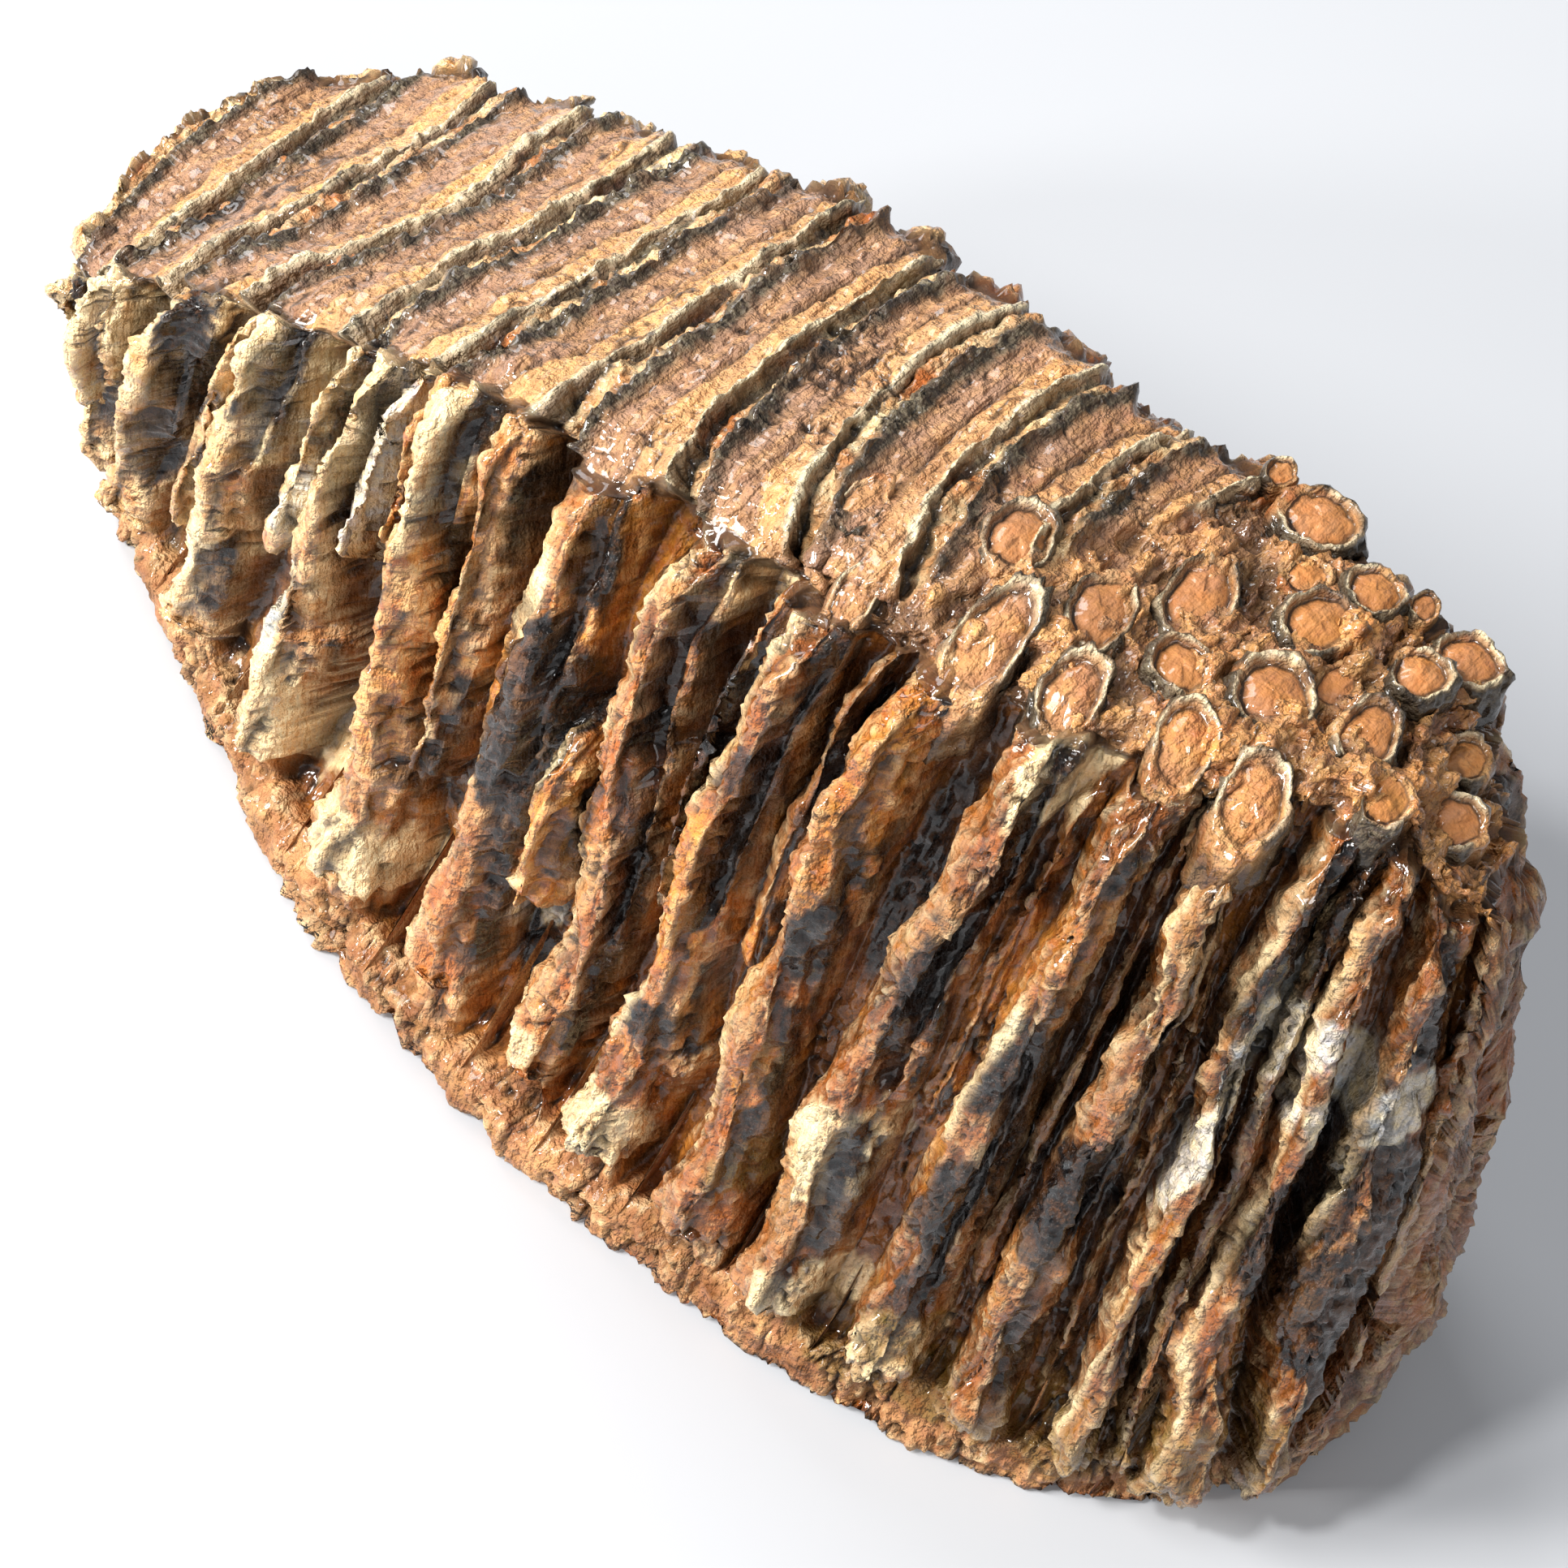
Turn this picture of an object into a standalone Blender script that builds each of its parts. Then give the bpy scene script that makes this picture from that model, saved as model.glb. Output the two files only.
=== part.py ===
"""A woolly mammoth molar, fossil, lying on the broken base of its crown.

+X runs from the low, worn front end to the tall, hardly worn back end, -Y is the side
that bulges, and +Z is up, towards the chewing face. The origin is at the bottom centre.
The tooth is one solid: 16 upright plates stand one behind another, cement lies between
them, and a rough band runs round their feet.

The shape is worked out in three tooth coordinates: plate, the plate's number along the
length; across, from -1 on the bulging side to 1 on the hollow side; and up, from 0 at
the base to 1 at the chewing face.
"""

import math

import bmesh
import bpy
import numpy as np

MM = 0.001

# One row for each plate, in millimetres: its place along the length at the foot, and at
# the chewing face on the near side, in the middle and on the far side.
PLATE_X = np.array(
    [
        (-75.5, -79.5, -82.0, -81.0),
        (-72.0, -71.5, -69.5, -70.0),
        (-65.0, -59.0, -55.5, -55.0),
        (-51.0, -47.0, -44.0, -43.5),
        (-36.0, -34.5, -32.5, -31.0),
        (-20.5, -21.0, -20.5, -19.0),
        (-7.5, -8.0, -10.0, -8.5),
        (4.5, 4.0, -0.5, 1.5),
        (14.5, 15.0, 9.5, 11.0),
        (26.5, 26.0, 19.0, 20.5),
        (37.5, 36.5, 28.0, 30.0),
        (47.5, 45.0, 36.5, 38.0),
        (57.0, 52.5, 44.5, 44.5),
        (65.5, 58.5, 51.5, 50.5),
        (72.0, 63.5, 57.5, 56.0),
        (76.5, 66.5, 62.5, 60.0),
    ]
)
# The same plates: how far the outline lies from the long axis, first on the near side at
# the foot and at the chewing face, then on the far side.
PLATE_Y = np.array(
    [
        (-2.5, -7.5, 24.0, 34.0),
        (-5.5, -9.5, 27.0, 36.0),
        (-8.5, -11.0, 29.0, 33.5),
        (-14.0, -13.0, 30.0, 29.5),
        (-20.0, -14.5, 30.0, 28.0),
        (-24.5, -15.5, 30.0, 27.0),
        (-26.5, -17.0, 30.0, 24.5),
        (-27.5, -17.5, 30.0, 22.0),
        (-28.0, -19.0, 29.5, 20.5),
        (-28.5, -18.0, 29.0, 19.0),
        (-28.5, -17.0, 28.5, 19.5),
        (-27.5, -14.5, 27.5, 19.5),
        (-25.5, -11.0, 26.0, 18.0),
        (-22.0, -7.5, 24.0, 17.0),
        (-18.0, -5.0, 21.5, 16.5),
        (-12.5, -4.0, 18.0, 15.5),
    ]
)
# The height of each plate's worn top on the near side.
PLATE_HIGH = np.array(
    [30, 40, 50.5, 59.5, 67.5, 74.5, 79.5, 83.5, 86, 88, 89.5, 90.5, 91.5, 92.5, 92, 86]
)
PLATES = len(PLATE_HIGH)
MIDDLE_X, MIDDLE_Y = -2.65, 1.15  # the middle of the outline on the scales above
FAR_SIDE_LOWER = 5.0  # the chewing face drops this much to the far side, at the back

BAND_HIGH = 9.0  # the band round the foot of the plates
BAND_AT = (1, 3, 6, 9, 12, 16)  # plate numbers, with how far the band stands out there
BAND_OUT = (2.0, 3.0, 6.8, 6.8, 4.0, 0.5)
BAND_TOP = 0.1  # the band ends at this share of the height
END_OVERHANG = 4.0  # from the middle of an end plate to the end of the tooth
END_NARROW = 0.14  # each end of the tooth is rounded off by this share of its width
FRONT_ROUND = 0.5  # share of the overhang that the front end loses at its corners
BACK_ROUND = 0.6  # the same at the back end
BACK_BULGE = 4.5  # the back end stands out this far past a straight line up
BACK_SQUARE = 0.35  # the lower, the more evenly it does so from foot to top
BACK_LOW = 0.8  # the lower, the nearer to the foot it does so most
END_FLUTE = 0.9  # upright folds on the two end faces
FLUTE_PITCH = 0.48

SIDE_SWELL = 3.0  # the sides are this much fuller half-way up
END_SWELL = 0.2  # share of the swelling that is left at the ends
KNEE_AT = 0.9  # from this share of the height the sides round over, by so much
KNEE_IN = 1.6
EDGE_DROP = 1.2

RIB_OUT = 2.6  # ribs stand out this far, and the grooves between them go in this far
GROOVE_IN = 3.2
RIB_BLUNT = 0.55  # the lower, the rounder and broader a rib
RIB_UNLIKE = 0.25  # ribs differ from each other by this share
RIB_START, RIB_RISE = 0.08, 0.06  # shares of the height over which ribs rise
RIB_FADE_AT, RIB_FADE = 0.93, 0.6  # ribs lose this share from here to the top
RIB_FOOT = 1.2  # a rib ends in a knob above the band
FOOT_AT, FOOT_REACH = 0.17, 0.07
WANDER = 1.2  # ribs wander this much to either side on their way down
WANDER_TURNS = 5.2  # radians of that wave over the height
PHASE_BY_PLATE, PHASE_BY_SIDE = 2.4, 1.3  # which keep neighbours out of step

RIM_AT = 0.32  # enamel stands this far from a plate's middle, as a share of the pitch
RIM_WIDE = 0.19
RIM_BEND = 0.12  # share of the half width in which the rims close round a plate's end
GAP_DEEP = 2.6  # cement lies this much below the enamel rims
DISH_DEEP = 1.1  # dentine lies this much below them

# Lumps on the near side: plate, share of the height, their reach along and up in the
# same measures, and how far they stand out in millimetres.
LUMPS = (
    (16.2, 0.24, 1.3, 0.16, 2.6),
    (7.5, 0.48, 0.28, 0.10, 3.4),
    (1.0, 0.86, 0.5, 0.10, 2.0),
    (9.0, 0.17, 0.5, 0.06, 1.6),
)

# Round columns that the last plates break up into: x, y and radius in millimetres.
COLUMNS = (
    (26.5, -13.0, 3.3),
    (22.0, -4.5, 3.6),
    (32.0, -5.5, 3.4),
    (36.5, -14.5, 3.6),
    (40.5, -5.5, 2.8),
    (37.5, 4.0, 4.0),
    (37.0, 16.0, 3.6),
    (45.5, -12.0, 3.2),
    (48.0, -2.5, 3.5),
    (45.5, 8.0, 3.4),
    (45.5, 15.5, 2.4),
    (51.5, -8.0, 2.6),
    (54.5, -0.5, 2.6),
    (52.5, 7.0, 2.8),
    (54.0, 14.0, 2.6),
    (59.0, -2.0, 2.3),
    (59.5, 7.0, 2.8),
)
COLUMN_SIDES = 10
COLUMN_TOP = 0.4  # tops stand this far above the enamel ridges
COLUMN_DEEP = 10.0
COLUMN_FOOT = 1.15  # a column widens a little downwards

# Where the block is cut: five cuts a plate lengthwise, and rows across and up.
CUTS_IN_PLATE = (-0.5, -0.32, -0.13, 0.13, 0.32)
CUTS_ACROSS = (-0.72, -0.48, -0.24, 0.0, 0.24, 0.48, 0.72)
CUTS_UP = (0.05, 0.1, 0.14, 0.24, 0.38, 0.52, 0.66, 0.8, 0.91, 0.97)


def clear_scene():
    for thing in list(bpy.data.objects):
        bpy.data.objects.remove(thing, do_unlink=True)


def along(rows, plate):
    """A row's value at a plate number, whole or not, run on past both ends."""
    numbers = np.arange(1, PLATES + 1)
    inside = np.interp(plate, numbers, rows)
    before = np.minimum(plate - 1, 0) * 0.5 * (rows[1] - rows[0])
    after = np.maximum(plate - PLATES, 0) * 0.5 * (rows[-1] - rows[-2])
    return inside + before + after


def bowed(near, middle, far, across):
    """A value that goes from near through middle to far, on a parabola."""
    return middle + (far - near) / 2 * across + ((far + near) / 2 - middle) * across**2


def beyond_ends(plate):
    """0 up to the middle of an end plate, 1 at the end of the tooth."""
    return 2 * max(0, 1 - plate, plate - PLATES)


def rib_shape(plate):
    """1 on the crest of a rib and 0 in the groove between two."""
    off = abs(plate - round(plate)) / 0.5
    return (1 - min(1, off)) ** RIB_BLUNT


def top_height(plate, across):
    high = along(PLATE_HIGH, plate)
    return high - FAR_SIDE_LOWER * (plate / PLATES) * (across + 1) / 2


def top_relief(plate, across):
    """Enamel ridges, dentine dishes and the gaps of cement, down from the top."""
    off = abs(plate - round(plate))
    gap = GAP_DEEP * max(0, (off - RIM_AT) / (0.5 - RIM_AT))
    dish = DISH_DEEP * min(1, max(0, (RIM_AT - off) / RIM_WIDE))
    inside = min(1, (1 - abs(across)) / RIM_BEND)
    return gap + dish * inside + EDGE_DROP * (1 - inside)


def wander(plate, up, side):
    """How far a rib strays lengthwise, without ever crossing its neighbour."""
    phase = round(plate) * PHASE_BY_PLATE + side * PHASE_BY_SIDE
    return WANDER * math.sin(phase + up * WANDER_TURNS) * (1 - up) * rib_shape(plate)


def side_swell(plate, up):
    """How far the side stands outside the straight line from foot to chewing face."""
    full = SIDE_SWELL * math.sin(math.pi * up)
    knee = KNEE_IN * max(0, (up - KNEE_AT) / (1 - KNEE_AT)) ** 2
    ends = min(1, (plate - 0.5) / 2, (PLATES + 0.5 - plate) / 2)
    return full * max(END_SWELL, ends) - knee


def rib_relief(plate, up, side):
    """Ribs stand out and grooves go in, from the band up; ribs have knobs for feet."""
    shape = rib_shape(plate)
    unlike = 1 + RIB_UNLIKE * math.sin(round(plate) * PHASE_BY_PLATE + side)
    rise = min(1, max(0, (up - RIB_START) / RIB_RISE))
    fade = 1 - RIB_FADE * max(0, (up - RIB_FADE_AT) / (1 - RIB_FADE_AT))
    foot = RIB_FOOT * math.exp(-(((up - FOOT_AT) / FOOT_REACH) ** 2)) * shape
    out = shape * (RIB_OUT * unlike + GROOVE_IN) - GROOVE_IN
    return out * rise * fade + foot * rise


def lumps(plate, up):
    out = 0
    for at_plate, at_up, reach_plate, reach_up, high in LUMPS:
        away = ((plate - at_plate) / reach_plate) ** 2 + ((up - at_up) / reach_up) ** 2
        out += high * math.exp(-away)
    return out


def half_width(plate, across, up):
    near = along(PLATE_Y[:, 0], plate) * (1 - up) + along(PLATE_Y[:, 1], plate) * up
    far = along(PLATE_Y[:, 2], plate) * (1 - up) + along(PLATE_Y[:, 3], plate) * up
    side = 1 if across > 0 else -1
    out = side_swell(plate, up)
    if abs(across) == 1:
        out += rib_relief(plate, up, side)
        out += lumps(plate, up) if side < 0 else 0
    if up < BAND_TOP:
        lower_half = min(1, 2 * (BAND_TOP - up) / BAND_TOP)
        out += np.interp(plate, BAND_AT, BAND_OUT) * lower_half
    half = ((far - near) / 2 + out) * (1 - END_NARROW * beyond_ends(plate))
    return (far + near) / 2, half


def length_place(plate, across, up):
    foot = along(PLATE_X[:, 0], plate)
    crest = bowed(*(along(PLATE_X[:, n], plate) for n in (1, 2, 3)), across)
    x = foot + (crest - foot) * up
    x += wander(plate, up, 1 if across > 0 else -1) * abs(across) ** 3
    flute = END_FLUTE * math.cos(across * math.tau / FLUTE_PITCH) * (1 - across**2)
    if plate < 1:
        x -= (END_OVERHANG * (1 - FRONT_ROUND * across**2) + flute) * beyond_ends(plate)
    if plate > PLATES:
        out = END_OVERHANG + BACK_BULGE * math.sin(math.pi * up**BACK_LOW) ** BACK_SQUARE
        x += (out * (1 - BACK_ROUND * across**2) + flute) * beyond_ends(plate)
    return x


def tooth_point(plate, across, up):
    """Tooth coordinates to a place in metres."""
    middle, half = half_width(plate, across, up)
    high = top_height(plate, across) - top_relief(plate, across)
    if up < BAND_TOP:
        z = BAND_HIGH * up / BAND_TOP
    else:
        z = BAND_HIGH + (high - BAND_HIGH) * (up - BAND_TOP) / (1 - BAND_TOP)
    x = length_place(plate, across, up) - MIDDLE_X
    y = middle + half * across - MIDDLE_Y
    return x * MM, y * MM, z * MM


def cut(mesh, axis, place):
    """Cuts all faces of the block by a plane across one axis."""
    point, normal = [0.0, 0.0, 0.0], [0.0, 0.0, 0.0]
    point[axis], normal[axis] = place, 1.0
    everything = mesh.verts[:] + mesh.edges[:] + mesh.faces[:]
    bmesh.ops.bisect_plane(
        mesh, geom=everything, dist=1e-5, plane_co=point, plane_no=normal
    )


def crown_mesh():
    """A block in tooth coordinates, cut into rows, then moved to its place."""
    mesh = bmesh.new()
    bmesh.ops.create_cube(mesh, size=1.0)
    for corner in mesh.verts:
        corner.co.x = 0.5 if corner.co.x < 0 else PLATES + 0.5
        corner.co.y = -1.0 if corner.co.y < 0 else 1.0
        corner.co.z = 0.0 if corner.co.z < 0 else 1.0
    for number in range(1, PLATES + 1):
        for share in CUTS_IN_PLATE:
            if number + share > 0.6:
                cut(mesh, 0, number + share)
    for place in CUTS_ACROSS:
        cut(mesh, 1, place)
    for place in CUTS_UP:
        cut(mesh, 2, place)
    base = [face for face in mesh.faces if face.calc_center_median().z < 1e-6]
    bmesh.ops.dissolve_faces(mesh, faces=base)
    for corner in mesh.verts:
        corner.co = tooth_point(*corner.co)
    bmesh.ops.recalc_face_normals(mesh, faces=mesh.faces)
    return mesh


def new_object(name, mesh, collection):
    data = bpy.data.meshes.new(name)
    mesh.to_mesh(data)
    mesh.free()
    thing = bpy.data.objects.new(name, data)
    collection.objects.link(thing)
    return thing


def height_at(x, y):
    """The chewing face's height under a place given in millimetres."""
    middles = PLATE_X[:, 2]
    plate = np.interp(x, middles, np.arange(1, PLATES + 1))
    near, far = along(PLATE_Y[:, 1], plate), along(PLATE_Y[:, 3], plate)
    across = min(1, max(-1, (2 * y - near - far) / (far - near)))
    return top_height(plate, across)


def column_mesh(x, y, radius):
    top = height_at(x, y) + COLUMN_TOP
    mesh = bmesh.new()
    bmesh.ops.create_cone(
        mesh,
        cap_ends=True,
        segments=COLUMN_SIDES,
        radius1=radius * COLUMN_FOOT * MM,
        radius2=radius * MM,
        depth=COLUMN_DEEP * MM,
    )
    place = ((x - MIDDLE_X) * MM, (y - MIDDLE_Y) * MM, (top - COLUMN_DEEP / 2) * MM)
    bmesh.ops.translate(mesh, verts=mesh.verts, vec=place)
    return mesh


def fossil_material():
    material = bpy.data.materials.new("fossil_tooth")
    material.use_nodes = True
    shader = material.node_tree.nodes["Principled BSDF"]
    shader.inputs["Base Color"].default_value = (0.40, 0.20, 0.08, 1.0)
    shader.inputs["Roughness"].default_value = 0.4
    shader.inputs["Metallic"].default_value = 0.0
    return material


def build():
    clear_scene()
    collection = bpy.data.collections.new("woolly_mammoth_tooth")
    helpers = bpy.data.collections.new("joined_shapes")
    for group in (collection, helpers):
        bpy.context.scene.collection.children.link(group)
    tooth = new_object("mammoth_tooth", crown_mesh(), collection)
    tooth.data.materials.append(fossil_material())
    for number, (x, y, radius) in enumerate(COLUMNS, 1):
        column = new_object(f"column_{number:02d}", column_mesh(x, y, radius), helpers)
        column.hide_render = True
        column.display_type = "WIRE"
    union = tooth.modifiers.new("columns", "BOOLEAN")
    union.operation = "UNION"
    union.operand_type = "COLLECTION"
    union.collection = helpers
    union.solver = "EXACT"


build()
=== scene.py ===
# %% [markdown]
# # A woolly mammoth tooth
#
# The real thing is one molar, as long as a hand. It grew as a row of upright plates.
# Each plate is a flat loop of hard enamel round softer dentine, and cement glues the
# plates to each other. It is stained brown and black, and varnished.
#
# This lesson dresses the plain CAD tooth. The camera and the floor come first, then the
# tooth's own coordinates, its relief, the pieces, the finish and the light.

import math

import bpy
import numpy as np
from mathutils import Matrix, Vector


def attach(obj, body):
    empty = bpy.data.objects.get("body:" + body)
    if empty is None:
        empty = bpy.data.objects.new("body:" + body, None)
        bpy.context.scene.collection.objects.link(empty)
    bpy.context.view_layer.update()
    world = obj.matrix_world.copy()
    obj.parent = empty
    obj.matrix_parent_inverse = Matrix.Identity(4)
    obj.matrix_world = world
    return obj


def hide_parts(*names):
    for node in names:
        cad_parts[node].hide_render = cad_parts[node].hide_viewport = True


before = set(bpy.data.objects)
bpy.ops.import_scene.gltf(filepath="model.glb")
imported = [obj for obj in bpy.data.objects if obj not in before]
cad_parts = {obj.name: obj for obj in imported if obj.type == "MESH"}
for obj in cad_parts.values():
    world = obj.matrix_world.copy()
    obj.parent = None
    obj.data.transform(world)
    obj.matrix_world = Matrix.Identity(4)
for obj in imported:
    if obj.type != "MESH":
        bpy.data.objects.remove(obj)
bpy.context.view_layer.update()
MM = 0.001

# %% [markdown]
# ## Camera and floor
#
# The photograph looks down on the bulging side and the chewing face, turned a little.
# Three directions at right angles give the turn: the picture's right, its up, and back
# towards the viewer. The floor is a plain sheet just under the tooth.

# %% Camera
PHOTO_SIZE = 1932
PHOTO_FOCAL = 4800  # in pixels of the photograph, a long lens
EYE = Vector((103.96, -181.73, 328.37)) * MM
RIGHT = Vector((0.74516206, 0.6483039, 0.15631877))
UP = Vector((-0.61427577, 0.5760057, 0.53933544))
BACK = Vector((0.25961276, -0.49791514, 0.82745497))

lens = bpy.data.cameras.new("photo_camera")
lens.sensor_width = 36
lens.lens = 36 * PHOTO_FOCAL / PHOTO_SIZE
lens.clip_start = 0.01
camera = bpy.data.objects.new("photo_camera", lens)
turn = Matrix((RIGHT, UP, BACK)).transposed().to_4x4()
camera.matrix_world = Matrix.Translation(EYE) @ turn
bpy.context.scene.collection.objects.link(camera)
bpy.context.scene.camera = camera
print("lens in mm:", round(lens.lens, 2))

# %% Floor
bpy.ops.object.select_all(action="DESELECT")
bpy.ops.mesh.primitive_plane_add(size=6, location=(0, 0, -0.0005))
floor = bpy.context.object
floor.name = "floor"
print("floor size in m:", round(floor.dimensions.x, 2))

# %% [markdown]
# ## Tooth coordinates
#
# Three numbers name a place on the tooth. `plate` runs along the length from 0.5 at the
# front to 16.5 at the back, and is a whole number in the middle of a plate. `across` runs
# from -1 on the bulging near side to 1 on the far side. `up` runs from 0 at the base to 1
# at the chewing face.
#
# The tables hold one row for each plate, in millimetres. They are the measures that the
# CAD tooth was made from, with the ribs of the near side followed more closely.

# %% The measures of the plates
PLATES = 16
# the place along the length: at the foot, then on the chewing face near, middle and far
PLATE_X = np.array([
    (-75.5, -79.5, -81.5, -81.0),
    (-72.0, -71.5, -68.4, -69.0),
    (-65.0, -59.0, -54.0, -53.5),
    (-51.0, -46.5, -42.7, -42.0),
    (-36.0, -34.5, -30.9, -29.5),
    (-20.5, -23.0, -19.2, -17.8),
    (-7.5, -8.5, -8.9, -7.4),
    (4.5, 5.0, 0.7, 2.7),
    (14.5, 16.5, 10.8, 12.3),
    (26.5, 27.0, 20.2, 21.7),
    (37.5, 37.5, 28.6, 30.6),
    (47.5, 46.0, 36.7, 38.2),
    (57.0, 52.5, 44.4, 44.5),
    (65.5, 58.5, 51.6, 50.6),
    (72.0, 63.5, 57.9, 56.4),
    (76.5, 66.5, 62.7, 60.2),
])
# how far the outline lies from the long axis: near foot, near top, far foot, far top
PLATE_Y = np.array([
    (-2.5, -7.5, 24.0, 34.0),
    (-5.5, -9.5, 27.0, 36.0),
    (-8.5, -11.0, 29.0, 33.5),
    (-14.0, -13.0, 30.0, 29.5),
    (-20.0, -14.5, 30.0, 28.0),
    (-24.5, -15.5, 30.0, 27.0),
    (-26.5, -17.0, 30.0, 24.5),
    (-27.5, -17.5, 30.0, 22.0),
    (-28.0, -19.0, 29.5, 20.5),
    (-28.5, -18.0, 29.0, 19.0),
    (-28.5, -17.0, 28.5, 19.5),
    (-27.5, -14.5, 27.5, 19.5),
    (-25.5, -11.0, 26.0, 18.0),
    (-22.0, -7.5, 24.0, 17.0),
    (-18.0, -5.0, 21.5, 16.5),
    (-12.5, -4.0, 18.0, 15.5),
])
PLATE_HIGH = np.array([
    30, 40, 50.5, 59.5, 67.5, 74.5, 79.5, 83.5, 86, 88, 89.5, 90.5, 91.5, 92.5, 92, 86
])
MIDDLE = np.array([-2.65, 1.15, 0.0])  # of the outline, on the scales of the tables
# the middle of each rib on the near side, at these heights
RIB_Z = (10, 20, 30, 40, 50, 60, 70, 80, 90)
RIB_X = np.array([
    (-76.5, -78, -79.5, -80, -80, -80, -80, -80, -80),
    (-72.5, -73.5, -73.2, -71.8, -71.5, -71.5, -71.5, -71.5, -71.5),
    (-66.8, -65.5, -64.3, -62.2, -59.2, -59, -59, -59, -59),
    (-52.3, -50.6, -49.2, -48.4, -47.2, -46.5, -46.5, -46.5, -46.5),
    (-36.6, -35.5, -34.6, -34.4, -34, -33.5, -34.5, -34.5, -34.5),
    (-21.3, -21, -21.5, -22, -22.4, -22.8, -23.6, -23.5, -23.5),
    (-6.8, -7.2, -7.2, -6.2, -5.6, -5.6, -6.4, -8.5, -8.5),
    (6.3, 7.2, 8.2, 8.6, 7.8, 5.4, 4.2, 4.8, 5.2),
    (14.6, 15.2, 16.1, 16.4, 15.9, 15.6, 16, 16.9, 16.5),
    (26.4, 26.6, 26.8, 26.4, 25.6, 25.2, 25.3, 26.4, 27),
    (37.1, 36.9, 36.1, 35.7, 36, 36.6, 37.4, 38, 37.5),
    (47.5, 47.2, 47.1, 47.3, 47, 46.6, 46.3, 46, 46),
    (56.3, 55.6, 55.1, 55, 55.4, 55.3, 54.4, 53, 52.5),
    (66.5, 66, 64.8, 63.6, 62.5, 61.4, 60.1, 58.8, 58.3),
    (72.6, 71.6, 70.4, 69.3, 68.2, 67, 65.8, 64.4, 63.3),
    (77, 76.6, 75.8, 74.8, 73.6, 72.2, 70.6, 68.6, 67),
])
print("plates:", PLATES, "tallest in mm:", PLATE_HIGH.max())

# %% [markdown]
# The smooth body under the relief follows from the tables. Two helpers read them between
# plates; `body_point` turns tooth coordinates into millimetres. It takes whole arrays, so
# that hundreds of thousands of points are placed at once.

# %% From tooth coordinates to millimetres
BAND_HIGH, BAND_TOP = 9.0, 0.1
BAND_AT, BAND_OUT = (1, 3, 6, 9, 12, 16), (2.0, 3.0, 6.3, 6.3, 3.8, 0.5)
PLATE_NUMBERS = np.arange(1, PLATES + 1)


def along(rows, plate):
    """A row's value at a plate number, whole or not, run on past both ends."""
    inside = np.interp(plate, PLATE_NUMBERS, rows)
    before = np.minimum(plate - 1, 0) * 0.5 * (rows[1] - rows[0])
    after = np.maximum(plate - PLATES, 0) * 0.5 * (rows[-1] - rows[-2])
    return inside + before + after


def step(low, high, value):
    """0 below low, 1 above high, and a soft slope between."""
    share = np.clip((value - low) / (high - low), 0, 1)
    return share * share * (3 - 2 * share)


def rib_place(plate, z):
    """Where a rib of the near side stands at a height, or a place between two ribs."""
    fine_z = np.arange(0, 96.0)
    table = np.array([np.interp(fine_z, RIB_Z, row) for row in RIB_X])
    low_p = np.clip(np.floor(plate).astype(int), 1, PLATES - 1)
    low_z = np.clip(np.floor(z).astype(int), 0, 94)
    part_p, part_z = plate - low_p, np.clip(z - low_z, 0, 1)
    lower = table[low_p - 1, low_z] * (1 - part_z) + table[low_p - 1, low_z + 1] * part_z
    upper = table[low_p, low_z] * (1 - part_z) + table[low_p, low_z + 1] * part_z
    return lower + (upper - lower) * part_p


def body_point(plate, across, up):
    beyond = 2 * np.maximum(0, np.maximum(1 - plate, plate - PLATES))
    near = along(PLATE_Y[:, 0], plate) * (1 - up) + along(PLATE_Y[:, 1], plate) * up
    far = along(PLATE_Y[:, 2], plate) * (1 - up) + along(PLATE_Y[:, 3], plate) * up
    ends = np.clip(np.minimum((plate - 0.5) / 2, (PLATES + 0.5 - plate) / 2), 0.2, 1)
    out = 3.0 * np.sin(math.pi * up) * ends - 1.2 * np.clip((up - 0.9) / 0.1, 0, 1) ** 2
    lower = np.clip(2 * (BAND_TOP - up) / BAND_TOP, 0, 1)
    out += np.interp(plate, BAND_AT, BAND_OUT) * lower
    half = ((far - near) / 2 + out) * (1 - 0.14 * beyond)
    y = (far + near) / 2 + half * across
    high = along(PLATE_HIGH, plate) - 5.0 * (plate / PLATES) * (across + 1) / 2 - 1.0
    slope = BAND_HIGH + (high - BAND_HIGH) * (up - BAND_TOP) / (1 - BAND_TOP)
    z = np.where(up < BAND_TOP, BAND_HIGH * up / BAND_TOP, slope)
    foot = along(PLATE_X[:, 0], plate)
    on_near, on_middle, on_far = (along(PLATE_X[:, n], plate) for n in (1, 2, 3))
    bow = (on_far - on_near) / 2 * across + ((on_far + on_near) / 2 - on_middle) * across**2
    x = foot + (on_middle + bow - foot) * up
    inner = np.clip(plate, 1, PLATES)
    inner_foot, inner_near = (along(PLATE_X[:, n], inner) for n in (0, 1))
    astray = rib_place(inner, z) - (inner_foot * (1 - up) + inner_near * up)
    x += astray * step(0.45, 1.0, -across)
    front = (4.0 * (1 - 0.5 * across**2)) * beyond
    bulge = 4.5 * np.sin(math.pi * np.clip(up, 0, 1) ** 0.8) ** 0.35
    rear = (4.0 + bulge) * (1 - 0.6 * across**2) * beyond
    x += np.where(plate > PLATES, rear, np.where(plate < 1, -front, 0))
    return np.stack([x, y, z], -1)


print("a place on rib 9, half-way up:", body_point(np.array(9.0), np.array(-1.0), np.array(0.5)))

# %% [markdown]
# ## A net round the tooth
#
# The skin is a net of rows and columns. Each row goes once round the tooth across a
# plate: up the near side, over the chewing face, down the far side and back underneath.
# The meshes are finest where the relief is finest. Past both ends the rows shrink to the
# middle of the end face.

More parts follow.
